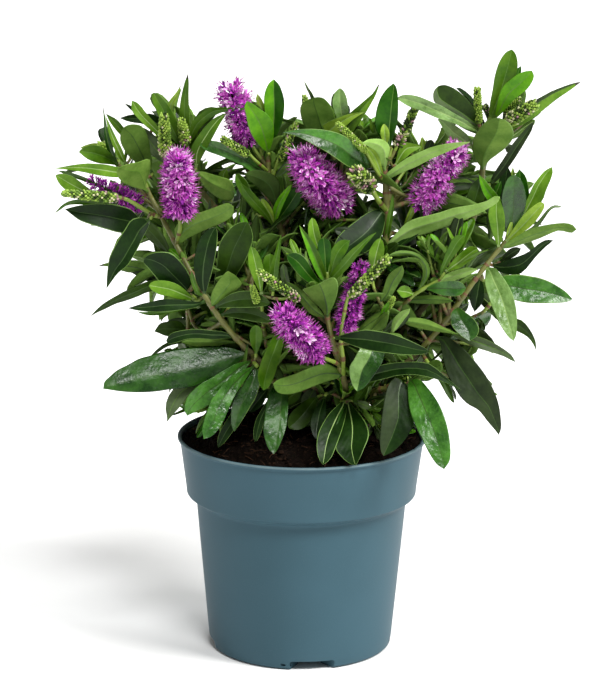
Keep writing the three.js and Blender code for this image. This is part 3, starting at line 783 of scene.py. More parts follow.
shoot("b6_stalk", [(384, 211, -10), (378, 200, -18), (370, 187, -22)], 1.9, 1.5, ["centre_bough"], young=1)
shoot("b5_stalk", [(383, 182, -8), (377, 172, -16), (365, 150, -20)], 1.2, 1.0, ["centre_bough"], young=1)
shoot("b7_stalk", [(387, 168, -6), (392, 156, -4), (400, 140, -2)], 1.3, 1.1, ["centre_bough", "tc_tip"], young=0.4)
shoot("tr_tip", [(482, 140, 4), (485, 128, 3), (490, 118, 2), (492, 112, 2)], 1.8, 1.3, ["top_right_bough"])
shoot("b8_stalk", [(484, 134, 3), (480, 128, 0), (479, 121, 0)], 1.2, 1.0, ["tr_tip"], young=1)
shoot("b9_stalk", [(490, 120, 2), (498, 121, -2), (508, 121, -4)], 1.4, 1.2, ["tr_tip"], young=1)
shoot("f5_stalk", [(404, 236, 9), (408, 222, 2), (417, 205, -6)], 1.5, 1.2, ["top_right_bough", "centre_bough"], young=0.6)
shoot("r_tip", [(499, 247, -9), (505, 242, -9), (511, 236, -9)], 1.8, 1.4, ["right_bough"])
shoot("r_up", [(505, 241, -9), (509, 230, -8), (511, 221, -8)], 1.4, 1.1, ["r_tip"], young=0.8)
shoot("r_top", [(507, 240, -8), (512, 215, 2), (515, 200, 4), (516, 190, 4)], 1.6, 1.2, ["r_tip", "right_bough"])
shoot("r_low", [(468, 322, -4), (472, 318, -1), (483, 312, 0), (491, 303, 0)], 1.7, 1.3, ["right_bough"], young=0.2)
shoot("rm_side", [(402, 303, -30), (415, 294, -33), (430, 285, -34), (440, 280, -34), (444, 272, -34)], 1.6, 1.2, ["centre_bough", "right_bough"])
shoot("fr_tip", [(327, 290, -62), (327, 281, -62), (327, 272, -62)], 1.7, 1.3, ["front_bough"])
shoot("f6_stalk", [(340, 368, -50), (334, 362, -60), (324, 358, -70)], 1.5, 1.2, ["front_bough"], young=0.6)
shoot("b10_stalk", [(344, 377, -44), (343, 360, -54), (341, 335, -60), (347, 300, -64), (350, 295, -64)], 1.6, 1.1, ["front_bough"], young=1)
shoot("f7_stalk", [(338, 360, -52), (340, 344, -54), (344, 328, -56)], 1.4, 1.2, ["front_bough"], young=0.6)
shoot("fl_pair", [(252, 357, -30), (254, 362, -38), (257, 366, -44)], 1.9, 1.4, ["left_bough"])
shoot("fl_low", [(286, 377, -22), (280, 382, -34), (277, 387, -44)], 1.8, 1.4, ["left_bough"])
shoot("fl_in", [(272, 369, -26), (264, 330, -34), (262, 306, -44), (262, 296, -48)], 1.7, 1.2, ["left_bough"])
shoot("lf_low", [(345, 400, -31), (346, 402, -36)], 1.6, 1.4, ["front_bough"])
shoot("lf_right", [(384, 390, -36), (396, 384, -44), (408, 378, -50)], 1.9, 1.4, ["lower_front_bough"])
shoot("lm_back", [(190, 290, -22), (182, 288, -14), (172, 285, -8)], 1.7, 1.3, ["left_bough"])
shoot("lm_low", [(222, 322, -30), (208, 330, -10), (192, 332, 4), (184, 331, 9)], 1.6, 1.2, ["left_bough"])
shoot("lm_drop", [(188, 309, -4), (188, 320, 0), (188, 331, 4)], 1.6, 1.4, ["left_bough", "lm_low"], young=0.0)
shoot("cl_front", [(378, 300, -9), (380, 302, -30), (382, 305, -48)], 1.8, 1.3, ["centre_bough"])

# ------------------------------------------------------------------ leaves that show
# base x, y, tip x, y, depth at base, depth at tip, width seen, turn of the blade (0 upper side shows,
# 180 underside, 90 edge), colour class, then what is special
# h gives one half of a blade a class of its own: painted light and shade, a paler half where sheen falls and a darker
# half in shade
HERO = [
    # upper left, left and lower left
    (118, 167, 103, 105, 0, -6, 8, 55, "E", dict(s="p", m=(107, 137), td=1)),
    (124, 166, 105, 115, -5, -14, 14, 0, "L", dict(s="p", f=8, m=(117, 138))),
    (140, 152, 106, 114, 6, 2, 15, 10, "M", dict(s="p", f=12)),
    (118, 167, 79, 152, -2, -16, 19, 10, "M", dict(f=22, m=(98, 154), cv=0.08)),
    (124, 162, 80, 147, 5, 2, 12, 20, "Y", dict(m=(100, 142))),
    (131, 179, 55, 168, -9, -16, 13, 0, "L", dict(s="p", f=10, m=(95, 169))),
    (114, 198, 55, 174, 8, -1, 18, 0, "L", dict(s="e", f=14, m=(82, 182), mg=1)),
    (112, 194, 59, 171, 6, 6, 7, 40, "M", dict(m=(82, 178))),
    (153, 172, 128, 124, 0, -30, 32, 180, "D", dict(s="r", f=6, u="V", m=(137, 143))),
    (147, 196, 123, 160, -5, -36, 30, 176, "L", dict(s="r", f=10, u="U", m=(131, 172))),
    (178, 150, 132, 100, 4, -4, 17, -10, "L", dict(s="n", f=16, m=(151, 117))),
    (178, 142, 119, 118, 12, 8, 14, 0, "N", dict(s="p", m=(150, 121))),
    (172, 140, 124, 103, 14, 12, 5, 60, "N", dict(s="p", td=1)),
    (180, 150, 153, 92, 1, -6, 17, 0, "M", dict(f=16, m=(162, 115))),
    (178, 140, 181, 85, 8, 4, 9, 40, "Y", dict(s="p", m=(171, 112), td=1)),
    (184, 148, 188, 73, 0, -4, 11, 35, "M", dict(s="p", m=(184, 108), td=1)),
    (187, 148, 191, 104, 5, 4, 6, 40, "L", dict(s="p")),
    (168, 165, 139, 127, 6, 0, 15, 0, "O", dict(f=8)),
    (182, 165, 160, 118, 10, 4, 22, 0, "N", dict(f=10)),
    (176, 158, 196, 128, 10, 2, 18, 0, "M", dict(f=10)),
    (138, 224, 65, 209, -4, -12, 25, -12, "N", dict(s="e", f=16, m=(103, 217), mg=1)),
    (122, 206, 54, 214, 0, -6, 6, 60, "M", dict(s="e", m=(80, 201), u="V")),
    (150, 218, 106, 290, -20, -32, 22, 0, "N", dict(s="n", f=18, m=(126, 246), mg=1, h="N", rf=-0.3)),
    (176, 246, 234, 206, -15, -40, 20, 180, "L", dict(s="o", u="U", f=6, m=(206, 222))),
    (205, 299, 217, 228, -31, -36, 21, 0, "N", dict(f=22, m=(204, 262), mg=2)),
    (212, 302, 246, 222, -14, -24, 34, 0, "D", dict(f=10, m=(232, 258), mg=1)),
    (201, 299, 192, 271, -31, -36, 6, 20, "M", dict(s="e", m=(194, 286))),
    (178, 286, 96, 267, -6, -12, 13, 180, "D", dict(s="e", u="V", m=(130, 269), td=1)),
    (196, 299, 146, 254, -16, -34, 30, 8, "N", dict(s="r", f=10, m=(168, 273), mg=1)),
    (174, 286, 91, 316, -8, -12, 9, 30, "D", dict(s="e", m=(117, 292), u="V")),
    (195, 300, 149, 285, -27, -38, 18, 0, "L", dict(s="r", f=8, m=(172, 287))),
    (202, 305, 128, 308, -31, -42, 16, 0, "N", dict(s="n", f=8, m=(166, 303), mg=3)),
    (200, 307, 150, 313, -32, -38, 7, 0, "M", dict(s="e")),
    (214, 308, 233, 269, -34, -52, 27, 180, "L", dict(s="r", u="U", f=10, m=(219, 286))),
    (214, 307, 270, 304, -34, -50, 17, 0, "D", dict(f=8, m=(242, 299), mg=1)),
    (222, 313, 271, 322, -31, -44, 15, 0, "D", dict(f=8, m=(246, 312), mg=1)),
    (190, 331, 154, 332, 6, 4, 14, 10, "D", dict(s="r", m=(170, 324))),
    (238, 335, 166, 343, -29, -34, 13, 0, "N", dict(s="e", m=(203, 334), mg=1)),
    (236, 342, 182, 342, -20, -26, 12, 180, "M", dict(u="U", m=(208, 342))),
    (206, 345, 151, 356, -14, -12, 5, 50, "D", dict(m=(176, 341))),
    (247, 357, 103, 389, -31, -54, 45, -24, "J", dict(s="e", f=-15, m=(177, 376), cv=0.03, k=0.8, fine=1, rf=-0.1)),
    (240, 362, 168, 422, -20, -44, 20, 0, "O", dict(m=(198, 386))),
    (250, 362, 187, 416, -34, -58, 25, 0, "H", dict(s="e", f=6, m=(218, 384), k=0.8, fine=1)),
    (258, 366, 204, 440, -42, -78, 25, 0, "H", dict(s="n", f=6, m=(228, 396), k=0.8, fine=1)),
    (262, 365, 233, 432, -40, -58, 24, 0, "G", dict(s="n", f=18, m=(246, 396), k=0.6, mg=3)),
    (258, 386, 218, 448, -34, -52, 16, 0, "N", dict(m=(238, 414), mg=1)),
    (226, 396, 197, 438, -40, -44, 9, 20, "E", dict()),
    (283, 331, 262, 392, -46, -64, 23, 10, "M", dict(s="e", f=26, m=(271, 360))),
    (256, 354, 256, 325, -40, -46, 13, 0, "M", dict(s="r", f=14)),
    (278, 386, 273, 456, -44, -78, 25, 0, "J", dict(s="e", f=4, m=(271, 420), k=0.8, fine=1, rf=-0.35)),
    (276, 388, 255, 442, -38, -56, 16, 0, "N", dict(m=(258, 418), mg=1)),
    # front and middle
    (325, 282, 299, 225, -63, -66, 15, 0, "B", dict(s="p", f=28, m=(311, 254), h="M")),
    (333, 281, 376, 233, -64, -74, 13, 0, "M", dict(s="p", f=12, m=(351, 253), cv=0.06)),
    (318, 288, 288, 243, -58, -66, 19, 0, "E", dict(f=14, m=(299, 262), mg=1)),
    (323, 264, 311, 218, -52, -52, 12, 0, "L", dict(f=18)),
    (326, 270, 320, 238, -60, -66, 10, 0, "E", dict(s="r", f=16)),
    (331, 280, 350, 240, -58, -62, 17, 0, "M", dict(f=14)),
    (326, 276, 327, 242, -64, -66, 6, 0, "E", dict(s="e", skip=1)),
    (329, 318, 319, 283, -60, -92, 36, 180, "M", dict(s="r", u="V", f=16, m=(323, 295), mg=1)),
    (322, 320, 288, 281, -58, -64, 20, 180, "L", dict(s="n", u="V", f=6, m=(304, 298))),
    (292, 292, 284, 262, -48, -50, 10, 0, "O", dict()),
    (263, 297, 251, 246, -49, -56, 15, 0, "L", dict(s="n", f=14, m=(254, 270))),
    (272, 292, 281, 235, -49, -54, 11, 0, "M", dict(s="p", f=20)),
    (270, 288, 271, 249, -44, -44, 16, 0, "M", dict(s="r")),
    (384, 210, 336, 256, -10, -40, 36, 0, "N", dict(s="n", f=-18, m=(360, 231), cv=0.06, mg=1)),
    (373, 272, 381, 238, -48, -52, 13, 0, "L", dict(f=14)),
    (387, 243, 393, 194, -11, -14, 9, 0, "M", dict(s="p", f=14)),
    (404, 238, 415, 199, -4, -8, 9, 0, "Y", dict(s="p")),
    (379, 303, 402, 262, -48, -56, 22, 160, "M", dict(s="o", u="V", f=16, m=(386, 283))),
    (392, 334, 412, 309, -46, -58, 15, 180, "L", dict(s="r", u="W", f=14)),
    (380, 319, 389, 302, -52, -60, 6, 0, "B", dict(s="e")),
    (396, 303, 453, 301, -28, -34, 9, 180, "D", dict(u="V", m=(425, 300))),
    (334, 337, 429, 350, -62, -86, 25, 6, "N", dict(s="n", f=14, m=(385, 340), mg=1)),
    (345, 376, 273, 384, -46, -82, 20, 176, "D", dict(s="o", u="V", f=12, m=(306, 376))),
    (346, 400, 323, 464, -34, -86, 25, 0, "N", dict(s="n", f=14, m=(334, 428), mg=1, fine=1, rb="p")),
    (347, 400, 357, 465, -34, -84, 29, 0, "N", dict(s="n", f=12, m=(355, 428), mg=1, fine=1, rb="p")),
    (324, 396, 313, 442, -30, -56, 16, 0, "N", dict(f=12)),
    (318, 396, 290, 431, -24, -48, 18, 0, "D", dict(s="r")),
    (376, 340, 355, 391, -52, -70, 28, 0, "G", dict(s="r", f=18, m=(368, 366), k=0.4, h="P")),
    (352, 386, 462, 391, -40, -74, 13, 12, "N", dict(s="e", m=(408, 361), u="U", cv=0.02, mg=1)),
    (354, 401, 375, 426, -38, -64, 10, 160, "L", dict(u="U", s="r")),
    (402, 378, 384, 456, -48, -74, 27, 0, "N", dict(s="e", f=14, m=(390, 414), fine=1, k=0.4, h="X")),
    (411, 376, 446, 469, -50, -94, 31, 0, "H", dict(s="n", f=6, m=(424, 420), fine=1, k=0.7)),
    (434, 372, 454, 403, -36, -48, 9, 0, "D", dict(s="p")),
    # right
    (386, 245, 501, 200, -11, -46, 21, 180, "L", dict(s="n", u="W", f=6, m=(442, 221))),
    (499, 249, 498, 195, -10, -16, 16, 0, "L", dict(s="n", f=12, m=(496, 220))),
    (506, 245, 544, 203, -12, -24, 14, 10, "Y", dict(s="r", f=24, m=(524, 226))),
    (507, 240, 512, 221, -9, -12, 5, 0, "Y", dict(s="e")),
    (516, 240, 562, 206, -6, -2, 4, 50, "O", dict(m=(541, 213), u="V")),
    (503, 249, 577, 229, -11, -22, 15, 150, "B", dict(s="n", u="U", f=14, m=(539, 233), tw=40)),
    (508, 240, 514, 175, -6, -16, 26, 0, "G", dict(s="n", f=10, m=(511, 205), k=0.3)),
    (518, 232, 519, 169, 4, 0, 20, 0, "E", dict(f=12, mg=1)),
    (514, 234, 552, 167, 0, -4, 17, 0, "L", dict(f=24, m=(533, 200), h="L", rf=-0.35)),
    (504, 204, 509, 166, 6, 2, 17, 0, "N", dict(f=10)),
    (511, 196, 513, 167, 5, 4, 6, 0, "Y", dict(s="p")),
    (504, 212, 479, 175, -6, -12, 15, 0, "B", dict(s="p", f=16, mg=1)),
    (492, 204, 501, 181, -4, -8, 9, 0, "E", dict(s="p", f=14)),
    (493, 265, 554, 241, -5, -12, 15, -10, "N", dict(s="n", m=(525, 259), f=10)),
    (486, 281, 572, 299, -16, -26, 29, 25, "H", dict(s="n", f=15, m=(535, 288), k=0.8, fine=1, mg=1)),
    (488, 268, 514, 341, -15, -50, 28, 0, "P", dict(s="n", f=8, m=(497, 302), k=0.6, fine=1, mg=2)),
    (480, 276, 472, 314, -8, -8, 17, 0, "N", dict(s="r")),
    (490, 312, 536, 351, -1, -8, 11, 10, "D", dict(s="e", m=(519, 319), u="U", mg=1)),
    (451, 330, 516, 362, -20, -30, 12, 8, "O", dict(s="e", m=(486, 340), mg=1)),
    (453, 309, 471, 341, -22, -38, 27, 0, "G", dict(s="r", f=16, k=0.4, mg=1)),
    (440, 339, 499, 435, -20, -48, 34, 0, "X", dict(s="n", f=10, m=(468, 382), fine=1)),
    (478, 318, 485, 330, -1, -2, 5, 0, "D", dict()),
    (400, 319, 458, 333, -34, -46, 14, 180, "D", dict(u="U", m=(430, 322))),
    (440, 277, 464, 235, -34, -40, 17, 0, "M", dict(s="r", f=12)),
    (444, 272, 478, 249, -34, -42, 16, 0, "L", dict(s="r", f=26)),
    (437, 283, 477, 269, -34, -42, 11, 180, "L", dict(u="W")),
    (424, 289, 466, 288, -34, -44, 17, 0, "H", dict(s="r", f=10, mg=1)),
    (416, 293, 388, 256, -33, -48, 12, 170, "M", dict(u="V", m=(425, 262), s="e")),
    (412, 296, 386, 306, -34, -46, 15, 0, "L", dict(mg=1)),
    # top, left of the middle to right of it
    (186, 152, 248, 108, 4, -8, 15, -16, "M", dict(s="p", m=(207, 110), f=10)),
    (193, 166, 225, 112, 0, -8, 21, 0, "M", dict(s="n", f=18, m=(204, 138), rb="p")),
    (268, 152, 245, 101, -2, -16, 27, 0, "B", dict(s="n", f=10, m=(257, 126), mg=3)),
    (270, 150, 274, 78, 4, 0, 23, 0, "B", dict(s="n", f=22, m=(274, 114), h="E")),
    (268, 140, 256, 92, 5, 4, 9, 0, "Y", dict(s="p")),
    (262, 174, 202, 142, 0, -6, 15, 0, "H", dict(s="e", f=12, m=(231, 153), mg=2)),
    (258, 160, 202, 171, 8, 8, 8, 30, "D", dict(s="e", m=(228, 160))),
    (272, 136, 247, 149, 10, 8, 7, 30, "O", dict()),
    (231, 200, 224, 168, 8, 4, 15, 0, "L", dict(s="p")),
    (190, 172, 236, 198, 0, -20, 26, 176, "L", dict(s="o", u="U", f=10, m=(212, 181))),
    (256, 214, 236, 173, 2, -4, 13, 0, "M", dict(s="r", f=20, mg=1)),
    (279, 210, 247, 171, -6, -34, 34, 180, "D", dict(s="r", u="K", f=6, m=(263, 187))),
    (274, 226, 240, 180, -8, -22, 9, 20, "M", dict(s="p", m=(254, 206))),
    (274, 222, 262, 198, -8, -16, 8, 0, "Y", dict(s="p")),
    (275, 224, 291, 184, -8, -18, 13, 10, "B", dict(s="n", f=20, m=(278, 202))),
    (281, 222, 302, 184, -6, -12, 15, 0, "E", dict(s="n", f=12)),
    (280, 229, 243, 233, -6, -24, 10, 150, "L", dict(s="e", u="V", m=(261, 232), k=1.4)),
    (327, 142, 309, 96, 5, -18, 36, 180, "M", dict(s="r", u="V", f=8, m=(316, 116))),
    (322, 125, 304, 81, 10, 8, 6, 40, "O", dict(s="p", u="U")),
    (342, 138, 340, 87, 6, 2, 16, 0, "P", dict(s="n", f=24)),
    (371, 166, 282, 132, -12, -40, 26, -25, "J", dict(s="n", f=15, m=(328, 143), k=0.7, fine=1, h="H", mg=1)),
    (340, 140, 380, 83, 3, -2, 15, 0, "M", dict(s="p", f=18, m=(356, 113), td=1, h="L")),
    (322, 140, 365, 111, 2, -4, 17, 0, "Y", dict(s="n", f=14, m=(343, 121), mg=3)),
    (391, 150, 394, 83, -6, -8, 23, 0, "E", dict(s="n", f=16, m=(389, 116), h="E", rf=0.33)),
    (386, 146, 384, 124, -12, -14, 9, 0, "Y", dict(s="n")),
    # this leaf takes the light class to stand lighter than the shadow that falls on it: painted light
    (378, 146, 370, 118, -4, -4, 4, 50, "L", dict()),
    (384, 152, 356, 132, 0, -4, 9, 0, "D", dict(s="r")),
    (386, 172, 361, 142, -9, -34, 25, 180, "L", dict(s="r", u="W", f=8, m=(376, 150))),
    (384, 184, 366, 146, -9, -16, 14, 0, "Y", dict(s="r", f=12, k=0.3)),
    (383, 181, 470, 142, -9, -48, 16, 180, "L", dict(s="n", u="W", f=6, m=(425, 155))),
    (395, 166, 426, 147, -2, 0, 9, 0, "L", dict()),
    (425, 156, 422, 137, 6, 6, 6, 0, "Y", dict()),
    (424, 158, 432, 140, 6, 4, 9, 0, "X", dict(s="r")),
    # top right
    (480, 133, 396, 97, 2, -10, 15, 0, "P", dict(s="n", f=12, m=(440, 105), k=0.6, fine=1)),
    (482, 128, 437, 86, 6, -6, 30, 0, "O", dict(s="r", f=14, m=(458, 104), h="D", rf=-0.45)),
    (474, 150, 438, 120, 8, 4, 16, 0, "P", dict(s="r", k=0.3)),
    (493, 119, 512, 48, 2, -4, 25, 0, "M", dict(s="n", f=16, m=(500, 82))),
    (494, 119, 532, 71, -1, -12, 22, 0, "B", dict(s="o", f=14, m=(511, 92), mg=0)),
    (500, 112, 521, 65, 8, 8, 9, 0, "E", dict()),
    (500, 128, 581, 82, 4, 0, 15, -30, "D", dict(s="n", f=20, m=(542, 103), u="U", td=1, h="L", rf=-0.45)),
    (479, 174, 497, 118, 4, -34, 42, 180, "D", dict(s="r", u="U", f=10, m=(491, 140), h="V", mg=1)),
    (488, 186, 534, 121, -2, -8, 12, 20, "X", dict(s="n", m=(508, 154))),
    (482, 176, 472, 210, 6, 0, 18, 0, "D", dict()),
    (178, 284, 131, 272.5, -3, -8, 12, 0, "X", dict()),
    (386, 150, 373, 126, 1, -2, 9, 0, "P", dict()),
    (352, 400, 371, 407, -36, -78, 8, 0, "O", dict()),
    (500, 262, 521, 248.5, -3, -8, 6, 0, "X", dict()),
    # this leaf takes the middle class, lighter than its own dark green, to stand out of the shadow that falls on it:
    # painted light
    (306, 384, 281, 404, -12, -18, 14, 10, "M", dict()),
    (318, 384, 303, 408, -14, -20, 14, 0, "O", dict()),
    (206, 313, 193, 326, 2, 6, 5, 20, "N", dict()),
    (268, 388, 249, 412, -20, -24, 12, 0, "N", dict()),
]


